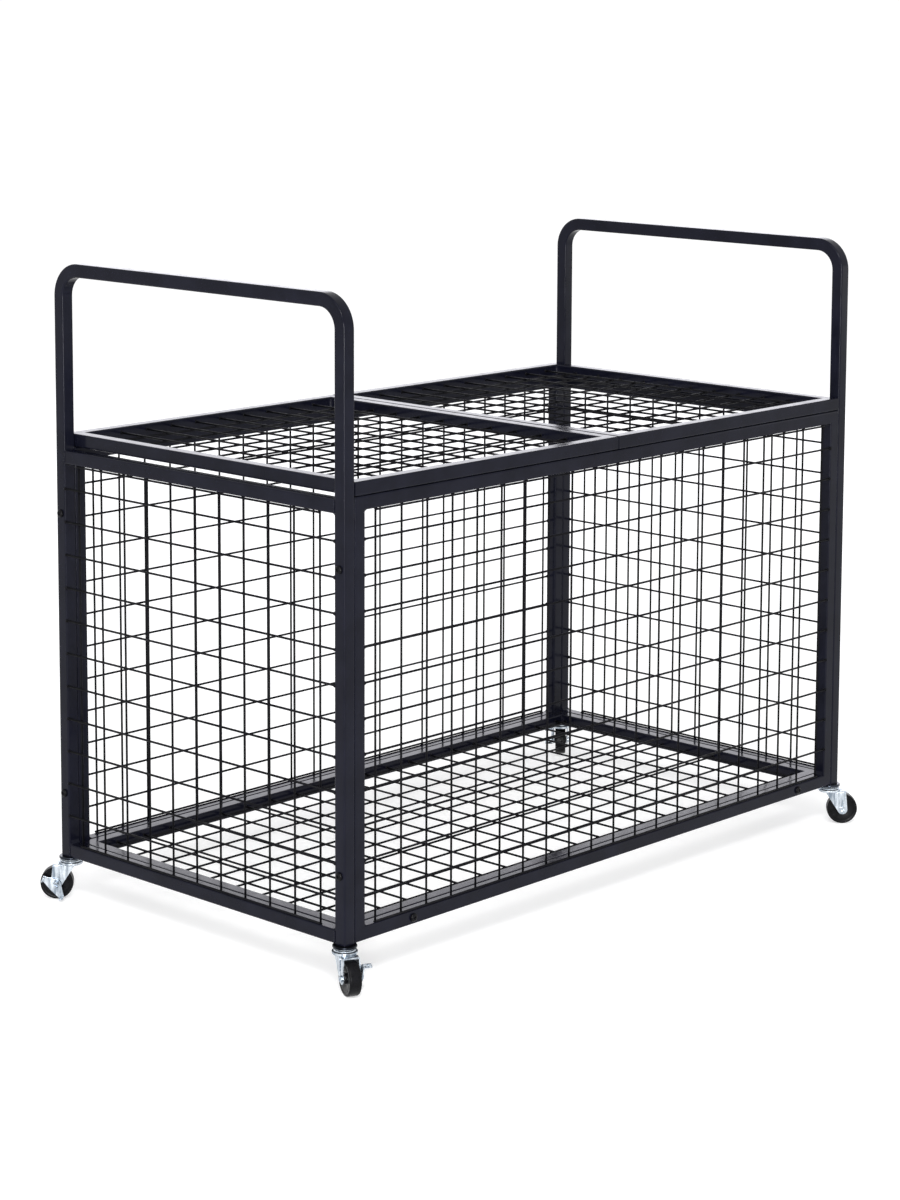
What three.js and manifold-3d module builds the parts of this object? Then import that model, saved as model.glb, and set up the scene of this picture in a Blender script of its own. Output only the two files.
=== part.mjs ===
// Ball cart: a cage of square tube and welded wire panels on four swivel casters
// with side brakes, a bent tube handle at each end and two lids hinged at the back.
// Millimetres, +Z up, X along the cart, origin on the floor under the cart's centre.

import * as THREE from 'three';
import { mergeVertices } from 'three/addons/utils/BufferGeometryUtils.js';
import Module from 'manifold-3d';

const wasm = await Module();
wasm.setup();

// Cart
const cartLength = 1144;
const cartDepth = 610;
const panelHeight = 624;
const handleRise = 277;
const handleBendRadius = 40;
const handleBendSteps = 6;
const endRailDrop = 2.5;

// Square tube
const tubeSize = 20;
const tubeCorner = 2.5;
const tubeWall = 1.2;

// Clearances
const seatGap = 0.3;
const lidSeam = 0.6;
const lidSideGap = 1;
const lidMiddleGap = 1.5;
const cutOverrun = 5;

// Welded wire; the first column of an upright net is the leftmost one seen from inside
const wireDiameter = 3;
const wireLayerGap = 0.2;
const borderWireGap = 3.2;
const panelNetDepth = 3;
const panelColumnPitch = 51.1;
const panelRowPitch = 50;
const panelFirstRow = 44;
const frontFirstColumn = 17.9;
const backFirstColumn = 26.6;
const leftFirstColumn = 31.8;
const rightFirstColumn = 35.9;
const floorColumnPitch = 53.1;
const floorRowPitch = 55.2;
const floorFirstColumn = 35.7;
const floorFirstRow = 24;
const lidRowPitch = 51;
const lidFirstRow = 14.5;
const leftLidColumnPitch = 50;
const leftLidFirstColumn = 19.5;
const rightLidColumnPitch = 51.1;
const rightLidFirstColumn = 21;

// Button head bolts and the threaded inserts that they screw into
const boltDiameter = 6;
const boltLength = 30;
const boltHeadDiameter = 12;
const boltHeadHeight = 3.5;
const boltSides = 8;
const boltRimShare = 0.3;
const boltCrownShare = 0.55;
const insertDiameter = 9.6;
const insertLength = 10;
const postBoltInset = 98;
const floorBoltNearInset = 111;
const floorBoltFarInset = 135;
const drainDiameter = 5;

// Lid hinges
const hingeWidth = 50;
const hingeLeafHeight = 15;
const hingeLeafThickness = 1.5;
const knuckleRadius = 4;
const knuckleMiddleWidth = 20;
const hingePinRadius = 2;
const hingeInset = 110;
const hingeSides = 10;

// Caster wheel
const wheelDiameter = 50;
const wheelWidth = 18;
const wheelShoulder = 2.2;
const hubRadius = 7;
const grooveRadius = 10;
const grooveDepth = 2;
const wheelSides = 18;

// Caster fork
const casterTrail = 21;
const forkInnerWidth = 22;
const forkThickness = 2;
const forkFront = 8;
const forkShoulderFront = 4.3;
const forkShoulderDrop = 8.5;
const forkRearTop = 5.2;
const forkBossRadius = 8;
const forkTopDrop = 1;
const forkTopSlope = 2.2;
const ribHeight = 1;
const ribWidth = 5;
const ribBack = 6.5;
const ribTopDrop = 5;
const ribLength = 16;

// Caster swivel head and stem
const wheelClearance = 3.5;
const crownDiameter = 36.6;
const crownHeight = 4.5;
const crownRim = 1.6;
const raceDiameter = 32;
const raceHeight = 4.2;
const capDiameter = 35;
const capHeight = 4.2;
const capChamfer = 1;
const kingPinRadius = 4;
const rivetRadius = 6.5;
const rivetHeight = 2.2;
const plugLength = 25;
const headSides = 12;

// Caster axle
const axleRadius = 2.5;
const axleHeadRadius = 4.75;
const axleHeadHeight = 2.5;
const axleSides = 8;

// Caster brake lever
const leverThickness = 2;
const leverTipRadius = 22.5;
const leverTipAngleDeg = 70;
const leverTipWidth = 7;
const leverBossRadius = 7.5;
const leverHubRadius = 5;
const leverBulge = 1;
const leverTabLength = 11;
const leverBossSteps = 4;

// Levels and half widths that follow from the sizes above
const axleHeight = wheelDiameter / 2;
const crownBottom = wheelDiameter + wheelClearance;
const crownTop = crownBottom + crownHeight;
const raceBottom = crownTop + seatGap;
const capBottom = raceBottom + raceHeight;
const capTop = capBottom + capHeight;
const frameBottom = capTop + seatGap;
const panelTop = frameBottom + panelHeight;
const handleTop = panelTop + handleRise;
const lidBottom = panelTop + lidSeam;
const postX = (cartLength - tubeSize) / 2;
const postY = (cartDepth - tubeSize) / 2;
const panelWidth = cartLength - 2 * (tubeSize + seatGap);
const floorDepth = cartDepth - 2 * (tubeSize + seatGap);
const lidWidth = cartLength / 2 - tubeSize - lidSideGap - lidMiddleGap / 2;
const endRailLength = cartDepth - 2 * (tubeSize + seatGap);
const tubeInside = tubeSize - 2 * tubeWall;
const panelNetShift = tubeSize / 2 - panelNetDepth;

// Paints and platings
const blackPaint = { color: 0x24252a, roughness: 0.42, metalness: 0.1 };
const blackBolt = { color: 0x1d1e22, roughness: 0.35, metalness: 0.4 };
const zinc = { color: 0xb9bfc8, roughness: 0.32, metalness: 0.9 };
const rubber = { color: 0x17171a, roughness: 0.6, metalness: 0 };

// A closed three.js geometry as a solid, with its faces turned outwards
function solid(geometry) {
  const bare = geometry.clone();
  bare.deleteAttribute('normal');
  bare.deleteAttribute('uv');
  const merged = mergeVertices(bare);
  const places = merged.getAttribute('position').array;
  const index = merged.getIndex().array;
  const corner = (i) => new THREE.Vector3().fromArray(places, 3 * i);
  const triangles = [];
  let volume = 0;
  for (let i = 0; i < index.length; i += 3) {
    const [a, b, c] = [index[i], index[i + 1], index[i + 2]];
    if (a === b || b === c || c === a) continue;
    triangles.push([a, b, c]);
    volume += corner(a).dot(corner(b).cross(corner(c)));
  }
  const turned = volume < 0 ? triangles.map(([a, b, c]) => [a, c, b]) : triangles;
  return new wasm.Manifold(new wasm.Mesh({
    numProp: 3,
    vertProperties: new Float32Array(places),
    triVerts: new Uint32Array(turned.flat()),
  }));
}

function join(solids) {
  return solids.reduce((whole, piece) => whole.add(piece));
}

function cut(body, tools) {
  return tools.reduce((rest, tool) => rest.subtract(tool), body);
}

// A solid back as a named mesh with its own material
function named(name, body, look) {
  const faces = body.getMesh();
  const geometry = new THREE.BufferGeometry();
  geometry.setAttribute('position', new THREE.BufferAttribute(faces.vertProperties, 3));
  geometry.setIndex(new THREE.BufferAttribute(faces.triVerts, 1));
  geometry.computeVertexNormals();
  const material = new THREE.MeshStandardMaterial({ ...look, flatShading: true });
  const mesh = new THREE.Mesh(geometry, material);
  mesh.name = name;
  return mesh;
}

// A round bar along X, Y or Z, centred on a point
function rod(axis, radius, length, sides, x, y, z) {
  const bar = new THREE.CylinderGeometry(radius, radius, length, sides);
  if (axis === 'x') bar.rotateZ(Math.PI / 2);
  if (axis === 'z') bar.rotateX(Math.PI / 2);
  return solid(bar.translate(x, y, z));
}

// A cutter whose flats lie at the radius, so that a round bar of that radius clears it
function bore(axis, radius, length, sides, x, y, z) {
  return rod(axis, radius / Math.cos(Math.PI / sides), length, sides, x, y, z);
}

// A body of revolution about Z from a closed outline of [radius, height] pairs
function turned(outline, sides) {
  const points = outline.map(([r, h]) => new THREE.Vector2(r, h));
  const onAxis = outline[0][0] === 0 && outline.at(-1)[0] === 0;
  if (!onAxis) points.push(points[0].clone());
  return solid(new THREE.LatheGeometry(points, sides, Math.PI / sides).rotateX(Math.PI / 2));
}

// A square section with round corners, as points that run anticlockwise
function tubeSection(size, corner, steps) {
  const centre = size / 2 - corner;
  const signs = [[1, 1], [-1, 1], [-1, -1], [1, -1]];
  return signs.flatMap(([sx, sy], quarter) => Array.from({ length: steps + 1 }, (_, i) => {
    const angle = (quarter + i / steps) * Math.PI / 2;
    return [sx * centre + corner * Math.cos(angle), sy * centre + corner * Math.sin(angle)];
  }));
}

const outerSection = tubeSection(tubeSize, tubeCorner, 1);
const innerSection = tubeSection(tubeInside, tubeCorner - tubeWall, 1);

// A section carried through stations; each station has a place and two directions
function sweep(section, stations, closed) {
  const count = section.length;
  const places = [];
  for (const { at, u, v } of stations) {
    for (const [a, b] of section) {
      places.push(at.x + a * u.x + b * v.x, at.y + a * u.y + b * v.y, at.z + a * u.z + b * v.z);
    }
  }
  const faces = [];
  const spans = closed ? stations.length : stations.length - 1;
  for (let j = 0; j < spans; j += 1) {
    const near = j * count;
    const far = ((j + 1) % stations.length) * count;
    for (let i = 0; i < count; i += 1) {
      const next = (i + 1) % count;
      faces.push(near + i, near + next, far + next);
      faces.push(near + i, far + next, far + i);
    }
  }
  if (!closed) {
    const last = (stations.length - 1) * count;
    for (let i = 1; i < count - 1; i += 1) {
      faces.push(0, i + 1, i);
      faces.push(last, last + i, last + i + 1);
    }
  }
  const geometry = new THREE.BufferGeometry();
  geometry.setAttribute('position', new THREE.Float32BufferAttribute(places, 3));
  geometry.setIndex(faces);
  return solid(geometry);
}

// Four mitred tubes in the XY plane
function ringFrame(width, height) {
  const x = (width - tubeSize) / 2;
  const y = (height - tubeSize) / 2;
  const corners = [[-1, -1], [-1, 1], [1, 1], [1, -1]];
  const stations = corners.map(([sx, sy]) => ({
    at: new THREE.Vector3(sx * x, sy * y, 0),
    u: new THREE.Vector3(sx, sy, 0),
    v: new THREE.Vector3(0, 0, 1),
  }));
  return cut(sweep(outerSection, stations, true), [sweep(innerSection, stations, true)]);
}

// A straight tube along Y, open at both ends
function straightTube(length) {
  const stations = (reach) => [-reach, reach].map((y) => ({
    at: new THREE.Vector3(0, y, 0),
    u: new THREE.Vector3(0, 0, 1),
    v: new THREE.Vector3(1, 0, 0),
  }));
  const inside = sweep(innerSection, stations(length / 2 + cutOverrun), false);
  return cut(sweep(outerSection, stations(length / 2), false), [inside]);
}

// Two posts and the handle bar above them, bent from one tube in the YZ plane
function handleStations(foot) {
  const stations = [];
  const add = (y, z, angle) => stations.push({
    at: new THREE.Vector3(0, y, z),
    u: new THREE.Vector3(0, -Math.cos(angle), Math.sin(angle)),
    v: new THREE.Vector3(1, 0, 0),
  });
  const bendY = postY - handleBendRadius;
  const bendZ = handleTop - tubeSize / 2 - handleBendRadius;
  const turn = (centreY, from) => {
    for (let i = 0; i <= handleBendSteps; i += 1) {
      const angle = from + i / handleBendSteps * Math.PI / 2;
      const y = centreY - handleBendRadius * Math.cos(angle);
      add(y, bendZ + handleBendRadius * Math.sin(angle), angle);
    }
  };
  add(-postY, foot, 0);
  turn(-bendY, 0);
  turn(bendY, Math.PI / 2);
  add(postY, foot, Math.PI);
  return stations;
}

const boltHoleRadius = boltDiameter / 2 + seatGap;
const lowBoltZ = frameBottom + postBoltInset;
const highBoltZ = panelTop - postBoltInset;

function handleTube() {
  const outside = sweep(outerSection, handleStations(frameBottom), false);
  const inside = sweep(innerSection, handleStations(frameBottom - cutOverrun), false);
  const holes = [-postY, postY].flatMap((y) => [lowBoltZ, highBoltZ].map((z) => (
    bore('x', boltHoleRadius, tubeSize + cutOverrun, boltSides, 0, y, z))));
  return cut(outside, [inside, ...holes]);
}

// Wire places from one side of an opening, as many as fit
function wirePlaces(span, firstGap, pitch) {
  const count = Math.floor((span - firstGap - borderWireGap) / pitch) + 1;
  return Array.from({ length: count }, (_, i) => firstGap - span / 2 + i * pitch);
}

// Welded wire in the XY plane: columns above the middle plane and rows below it. The
// first column and the first row lie nearer the middle, where the others meet them
function wireMesh(openWidth, openHeight, columns, rows) {
  const side = wireDiameter * Math.sqrt(Math.PI) / 2;
  const layer = (side + wireLayerGap) / 2;
  const weldLayer = side / 8;
  const across = openWidth - 2 * seatGap;
  const along = openHeight - 2 * seatGap;
  const column = (x, z) => solid(new THREE.BoxGeometry(side, along, side).translate(x, 0, z));
  const row = (y, z) => solid(new THREE.BoxGeometry(across, side, side).translate(0, y, z));
  return join([
    column(columns[0], -weldLayer),
    row(rows[0], weldLayer),
    ...columns.slice(1).map((x) => column(x, layer)),
    ...rows.slice(1).map((y) => row(y, -layer)),
  ]);
}

// Net of an upright panel, with a border wire beside each rail
function panelMesh(openWidth, openHeight, firstColumn) {
  const border = openHeight / 2 - borderWireGap;
  const columns = wirePlaces(openWidth, firstColumn, panelColumnPitch);
  const rows = wirePlaces(openHeight, panelFirstRow, panelRowPitch);
  return wireMesh(openWidth, openHeight, columns, [-border, ...rows, border]);
}

function floorMesh() {
  const openWidth = panelWidth - 2 * tubeSize;
  const openDepth = floorDepth - 2 * tubeSize;
  const columns = wirePlaces(openWidth, floorFirstColumn, floorColumnPitch);
  const rows = wirePlaces(openDepth, floorFirstRow, floorRowPitch);
  return wireMesh(openWidth, openDepth, columns, rows);
}

function lidMesh(firstColumn, columnPitch) {
  const openWidth = lidWidth - 2 * tubeSize;
  const openDepth = cartDepth - 2 * tubeSize;
  const columns = wirePlaces(openWidth, firstColumn, columnPitch);
  const rows = wirePlaces(openDepth, lidFirstRow, lidRowPitch);
  return wireMesh(openWidth, openDepth, columns, rows);
}

// A frame with threaded inserts pressed into its walls, each one open to its bolt
function withInserts(frame, places) {
  const reach = tubeWall + insertLength;
  const middle = ({ axis, x, y, z, inward }) => {
    const step = inward * reach / 2;
    return axis === 'x' ? [x + step, y, z] : [x, y + step, z];
  };
  const sleeves = places.map((place) => (
    rod(place.axis, insertDiameter / 2, insertLength, boltSides, ...middle(place))));
  const depth = reach + 2 * cutOverrun;
  const holes = places.map((place) => (
    bore(place.axis, boltHoleRadius, depth, boltSides, ...middle(place))));
  return cut(join([frame, ...sleeves]), holes);
}

// Floor bolt places along the front and back rails, as seen from inside the cage
const floorBolts = [floorBoltNearInset - cartLength / 2, cartLength / 2 - floorBoltFarInset];

// Front or back panel frame in the XY plane, with its bolt holes
function panelFrame() {
  const frame = ringFrame(panelWidth, panelHeight);
  const boltY = panelHeight / 2 - postBoltInset;
  const places = [-1, 1].flatMap((sx) => [-boltY, boltY].map((y) => ({
    axis: 'x', x: sx * panelWidth / 2, y, z: 0, inward: -sx,
  })));
  const railY = (tubeSize - panelHeight) / 2;
  const through = floorBolts.map((x) => (
    bore('z', boltHoleRadius, tubeSize + cutOverrun, boltSides, x, railY, 0)));
  return cut(withInserts(frame, places), through);
}

function floorFrame() {
  const frame = ringFrame(panelWidth, floorDepth);
  const places = [-1, 1].flatMap((sy) => floorBolts.map((x) => ({
    axis: 'y', x: sy * x, y: sy * floorDepth / 2, z: 0, inward: -sy,
  })));
  return withInserts(frame, places);
}

// A lid frame drains through a hole in the underside of each end rail
function lidFrame() {
  const railX = (lidWidth - tubeSize) / 2;
  const drains = [-railX, railX].map((x) => (
    bore('z', drainDiameter / 2, tubeSize, boltSides, x, cartDepth / 4, -tubeSize / 2)));
  return cut(ringFrame(lidWidth, cartDepth), drains);
}

// Button head bolt along Z: the head above, its seat at zero, the shank below
function bolt() {
  const r = boltDiameter / 2;
  const headR = boltHeadDiameter / 2;
  const top = seatGap + boltHeadHeight;
  return turned([
    [0, -boltLength],
    [r, -boltLength],
    [r, seatGap],
    [headR, seatGap],
    [headR, seatGap + boltRimShare * boltHeadHeight],
    [headR * boltCrownShare, top],
    [0, top],
  ], boltSides);
}

// Hinge leaf around the X axis: a flat plate from its outline in X and Z, and its knuckles
function hingeLeaf(outline, knuckles) {
  const shape = new THREE.Shape(outline.map(([x, z]) => new THREE.Vector2(x, z)));
  const plate = new THREE.ExtrudeGeometry(shape, {
    depth: hingeLeafThickness,
    bevelEnabled: false,
  });
  plate.rotateX(Math.PI / 2).translate(0, hingeLeafThickness - knuckleRadius, 0);
  const barrels = knuckles.map(([from, to]) => (
    rod('x', knuckleRadius, to - from, hingeSides, (from + to) / 2, 0, 0)));
  return join([solid(plate), ...barrels]);
}

// Leaf below the pin, with a knuckle at each end and the pin held in both
function fixedLeaf() {
  const half = hingeWidth / 2;
  const inner = knuckleMiddleWidth / 2 + seatGap;
  const notch = -knuckleRadius - seatGap;
  const outline = [
    [-half, -hingeLeafHeight],
    [half, -hingeLeafHeight],
    [half, 0],
    [inner, 0],
    [inner, notch],
    [-inner, notch],
    [-inner, 0],
    [-half, 0],
  ];
  const leaf = hingeLeaf(outline, [[-half, -inner], [inner, half]]);
  return leaf.add(rod('x', hingePinRadius, hingeWidth, hingeSides, 0, 0, 0));
}

// Leaf above the pin, which turns on it by one knuckle in the middle
function movingLeaf() {
  const half = hingeWidth / 2;
  const inner = knuckleMiddleWidth / 2;
  const notch = knuckleRadius + seatGap;
  const outline = [
    [-half, hingeLeafHeight],
    [-half, notch],
    [-inner, notch],
    [-inner, 0],
    [inner, 0],
    [inner, notch],
    [half, notch],
    [half, hingeLeafHeight],
  ];
  const leaf = hingeLeaf(outline, [[-inner, inner]]);
  const pinHole = hingePinRadius + seatGap;
  return leaf.subtract(bore('x', pinHole, hingeWidth, hingeSides, 0, 0, 0));
}

// Tyre and hub about Z, with the flats of the tread at the wheel's radius
function wheel() {
  const half = wheelWidth / 2;
  const hubHalf = forkInnerWidth / 2 - seatGap;
  const flat = Math.cos(Math.PI / wheelSides);
  const tread = wheelDiameter / 2 / flat;
  const hole = (axleRadius + seatGap) / flat;
  const side = [
    [hole, hubHalf],
    [hubRadius, hubHalf],
    [grooveRadius, half - grooveDepth],
    [tread - wheelShoulder, half],
    [tread, half - wheelShoulder],
  ];
  const mirrored = side.map(([r, h]) => [r, -h]).reverse();
  return turned([...side, ...mirrored], wheelSides);
}

// Side plate of the fork, in X and Z, with its round boss at the axle
function forkLeg() {
  const legTop = crownTop - forkTopDrop;
  const shoulder = new THREE.Vector2(-forkShoulderFront, crownTop - forkShoulderDrop);
  const axle = new THREE.Vector2(casterTrail, axleHeight);
  const toAxle = axle.clone().sub(shoulder);
  const lean = toAxle.angle() - Math.asin(forkBossRadius / toAxle.length());
  const shape = new THREE.Shape();
  shape.moveTo(-forkFront, legTop);
  shape.lineTo(shoulder.x, shoulder.y);
  const start = lean - Math.PI / 2;
  shape.absarc(axle.x, axle.y, forkBossRadius, start, 2 * Math.PI, false);
  shape.lineTo(casterTrail + forkRearTop, legTop - forkTopSlope);
  shape.closePath();
  return shape;
}

// Plate between the two legs, in X and Z
function forkWeb() {
  const legTop = crownTop - forkTopDrop;
  const rear = casterTrail + forkRearTop;
  return new THREE.Shape([
    new THREE.Vector2(-forkFront, legTop),
    new THREE.Vector2(-forkFront + forkThickness, legTop - forkThickness),
    new THREE.Vector2(rear, legTop - forkTopSlope - forkThickness),
    new THREE.Vector2(rear, legTop - forkTopSlope),
  ]);
}

// A shape in X and Z extruded along Y, from one Y to another
function slab(shape, fromY, toY, steps) {
  const plate = new THREE.ExtrudeGeometry(shape, {
    depth: toY - fromY,
    bevelEnabled: false,
    curveSegments: steps,
  });
  return solid(plate.rotateX(Math.PI / 2).translate(0, toY, 0));
}

// Raised rib on the outside of a leg
function ribShape() {
  const x = casterTrail - ribBack;
  const top = crownTop - ribTopDrop;
  const half = ribWidth / 2;
  const shape = new THREE.Shape();
  shape.moveTo(x - half, top - half);
  shape.lineTo(x - half, top - ribLength + half);
  shape.absarc(x, top - ribLength + half, half, Math.PI, 2 * Math.PI, false);
  shape.lineTo(x + half, top - half);
  shape.absarc(x, top - half, half, 0, Math.PI, false);
  return shape;
}

function fork() {
  const inner = forkInnerWidth / 2;
  const outer = inner + forkThickness;
  const leg = forkLeg();
  const rib = ribShape();
  const arcSteps = 6;
  const ribSteps = 3;
  const crownR = crownDiameter / 2;
  const dish = turned([
    [0, crownBottom],
    [crownR, crownBottom],
    [crownR, crownTop - crownRim],
    [crownR - crownRim, crownTop],
    [0, crownTop],
  ], headSides);
  const body = join([
    slab(leg, inner, outer, arcSteps),
    slab(leg, -outer, -inner, arcSteps),
    slab(forkWeb(), -outer, outer, arcSteps),
    slab(rib, outer - forkThickness / 2, outer + ribHeight, ribSteps),
    slab(rib, -outer - ribHeight, -outer + forkThickness / 2, ribSteps),
    dish,
  ]);
  const pinHole = kingPinRadius + seatGap;
  const tall = crownHeight + 4 * cutOverrun;
  const wide = 2 * (outer + cutOverrun);
  return cut(body, [
    bore('z', pinHole, tall, headSides, 0, 0, crownBottom),
    bore('y', axleRadius + seatGap, wide, axleSides, casterTrail, 0, axleHeight),
  ]);
}

// Ball race, cap, king pin and its rivet, with a plug that fills the post's tube
function stem() {
  const raceR = raceDiameter / 2;
  const capR = capDiameter / 2;
  const rivetTop = crownBottom - seatGap;
  const core = turned([
    [0, rivetTop - rivetHeight],
    [rivetRadius, rivetTop - rivetHeight],
    [rivetRadius, rivetTop],
    [kingPinRadius, rivetTop],
    [kingPinRadius, raceBottom],
    [raceR, raceBottom],
    [raceR, capBottom],
    [capR, capBottom],
    [capR, capTop - capChamfer],
    [capR - capChamfer, capTop],
    [0, capTop],
  ], headSides);
  const plugSide = tubeInside - 2 * seatGap;
  const plugCorner = tubeCorner - tubeWall;
  const stations = [capTop - capHeight / 2, capTop + plugLength].map((z) => ({
    at: new THREE.Vector3(0, 0, z),
    u: new THREE.Vector3(1, 0, 0),
    v: new THREE.Vector3(0, 1, 0),
  }));
  return core.add(sweep(tubeSection(plugSide, plugCorner, 1), stations, false));
}

const legOuter = forkInnerWidth / 2 + forkThickness;
const leverInside = legOuter + ribHeight + seatGap;
const leverOutside = leverInside + leverThickness;

// Riveted axle along Z from the plain side to the brake side
function axle() {
  const plain = -legOuter - seatGap;
  const braked = leverOutside + seatGap;
  return turned([
    [0, plain - axleHeadHeight],
    [axleHeadRadius, plain - axleHeadHeight],
    [axleHeadRadius, plain],
    [axleRadius, plain],
    [axleRadius, braked],
    [axleHeadRadius, braked],
    [axleHeadRadius, braked + axleHeadHeight],
    [0, braked + axleHeadHeight],
  ], axleSides);
}

// Brake lever about the axle, along +X between its two tips, each with a foot tab
function brakeLever() {
  const tipAngle = leverTipAngleDeg * Math.PI / 180;
  const half = leverTipWidth / 2;
  const tip = (sign) => {
    const out = new THREE.Vector2(Math.cos(tipAngle), sign * Math.sin(tipAngle));
    const side = new THREE.Vector2(Math.sin(tipAngle), -sign * Math.cos(tipAngle));
    const centre = out.clone().multiplyScalar(leverTipRadius);
    return {
      near: centre.clone().addScaledVector(side, half),
      far: centre.clone().addScaledVector(side, -half),
    };
  };
  const upper = tip(1);
  const lower = tip(-1);
  const shape = new THREE.Shape();
  shape.moveTo(lower.far.x, lower.far.y);
  shape.lineTo(lower.near.x, lower.near.y);
  shape.lineTo(lower.near.x + leverBulge, 0);
  shape.lineTo(upper.near.x, upper.near.y);
  shape.lineTo(upper.far.x, upper.far.y);
  const from = Math.PI - tipAngle / 2;
  const to = Math.PI + tipAngle / 2;
  shape.absarc(0, 0, leverBossRadius, from, to, false);
  const plate = slab(shape, leverInside, leverOutside, leverBossSteps);
  const tabs = [upper, lower].map(({ near, far }) => {
    const inward = near.clone().add(far).setLength(leverThickness);
    const outline = [near, far, far.clone().sub(inward), near.clone().sub(inward)];
    const tab = new THREE.Shape(outline.map(({ x, y }) => new THREE.Vector2(x, y)));
    return slab(tab, leverInside, leverOutside + leverTabLength, leverBossSteps);
  });
  const hubMiddle = (legOuter + seatGap + leverOutside) / 2;
  const hubWidth = leverOutside - legOuter - seatGap;
  const hub = rod('y', leverHubRadius, hubWidth, headSides, 0, hubMiddle, 0);
  const reach = 2 * (leverOutside + cutOverrun);
  const hole = bore('y', axleRadius + seatGap, reach, axleSides, 0, 0, 0);
  return join([plate, ...tabs, hub]).subtract(hole);
}

const cart = new THREE.Group();

function at(object, x, y, z) {
  object.position.set(x, y, z);
  return object;
}

// End frames with their handles
const endOpenHeight = panelHeight - endRailDrop - 2 * tubeSize;
for (const [name, side, column] of [
  ['left', -1, leftFirstColumn],
  ['right', 1, rightFirstColumn],
]) {
  const end = at(new THREE.Group(), side * postX, 0, 0);
  const lowRailZ = frameBottom + tubeSize / 2;
  const topRailZ = panelTop - endRailDrop - tubeSize / 2;
  end.add(named(`${name}_handle_tube`, handleTube(), blackPaint));
  const rail = straightTube(endRailLength);
  end.add(at(named(`${name}_top_rail`, rail, blackPaint), 0, 0, topRailZ));
  end.add(at(named(`${name}_bottom_rail`, rail, blackPaint), 0, 0, lowRailZ));
  const openWidth = cartDepth - 2 * tubeSize;
  const net = named(`${name}_mesh`, panelMesh(openWidth, endOpenHeight, column), blackPaint);
  net.rotation.set(Math.PI / 2, 0, -side * Math.PI / 2, 'ZXY');
  end.add(at(net, side * panelNetShift, 0, (lowRailZ + topRailZ) / 2));
  cart.add(end);
}

// Front and back panels, each turned so that its local +Z points into the cage
const panelMiddle = frameBottom + panelHeight / 2;
for (const [name, side, column] of [
  ['front', -1, frontFirstColumn],
  ['back', 1, backFirstColumn],
]) {
  const panel = at(new THREE.Group(), 0, side * postY, panelMiddle);
  panel.rotation.set(Math.PI / 2, 0, side < 0 ? Math.PI : 0, 'ZXY');
  panel.add(named(`${name}_frame`, panelFrame(), blackPaint));
  const openWidth = panelWidth - 2 * tubeSize;
  const net = panelMesh(openWidth, panelHeight - 2 * tubeSize, column);
  panel.add(at(named(`${name}_mesh`, net, blackPaint), 0, 0, -panelNetShift));
  cart.add(panel);
}

// Floor
const floor = at(new THREE.Group(), 0, 0, frameBottom + tubeSize / 2);
floor.add(named('floor_frame', floorFrame(), blackPaint));
floor.add(named('floor_mesh', floorMesh(), blackPaint));
cart.add(floor);

// Bolts through the posts into the panels, and through the panels into the floor
for (const [end, sx] of [['left', -1], ['right', 1]]) {
  for (const [face, sy] of [['front', -1], ['back', 1]]) {
    for (const [level, z] of [['low', lowBoltZ], ['high', highBoltZ]]) {
      const post = named(`bolt_${face}_${end}_${level}`, bolt(), blackBolt);
      post.rotation.y = sx * Math.PI / 2;
      cart.add(at(post, sx * cartLength / 2, sy * postY, z));
    }
    const low = named(`bolt_${face}_${end}_floor`, bolt(), blackBolt);
    low.rotation.x = -sy * Math.PI / 2;
    const x = sy * floorBolts[sx === sy ? 1 : 0];
    cart.add(at(low, x, sy * cartDepth / 2, frameBottom + tubeSize / 2));
  }
}

// Lids with two hinges each
const hingeY = cartDepth / 2 + seatGap + knuckleRadius;
const hingeZ = panelTop + lidSeam / 2;
const lids = [
  { name: 'left', side: -1, column: leftLidFirstColumn, pitch: leftLidColumnPitch },
  { name: 'right', side: 1, column: rightLidFirstColumn, pitch: rightLidColumnPitch },
];
for (const { name, side, column, pitch } of lids) {
  const lidX = side * (lidMiddleGap + lidWidth) / 2;
  const lid = at(new THREE.Group(), lidX, 0, lidBottom + tubeSize / 2);
  lid.add(named(`${name}_lid_frame`, lidFrame(), blackPaint));
  lid.add(named(`${name}_lid_mesh`, lidMesh(column, pitch), blackPaint));
  cart.add(lid);
  for (const [place, hand] of [['left', -1], ['right', 1]]) {
    const x = lidX + hand * (lidWidth / 2 - hingeInset);
    const hinge = at(new THREE.Group(), x, hingeY, hingeZ);
    hinge.add(named(`${name}_lid_hinge_${place}_fixed`, fixedLeaf(), blackPaint));
    hinge.add(named(`${name}_lid_hinge_${place}_moving`, movingLeaf(), blackPaint));
    cart.add(hinge);
  }
}

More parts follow.
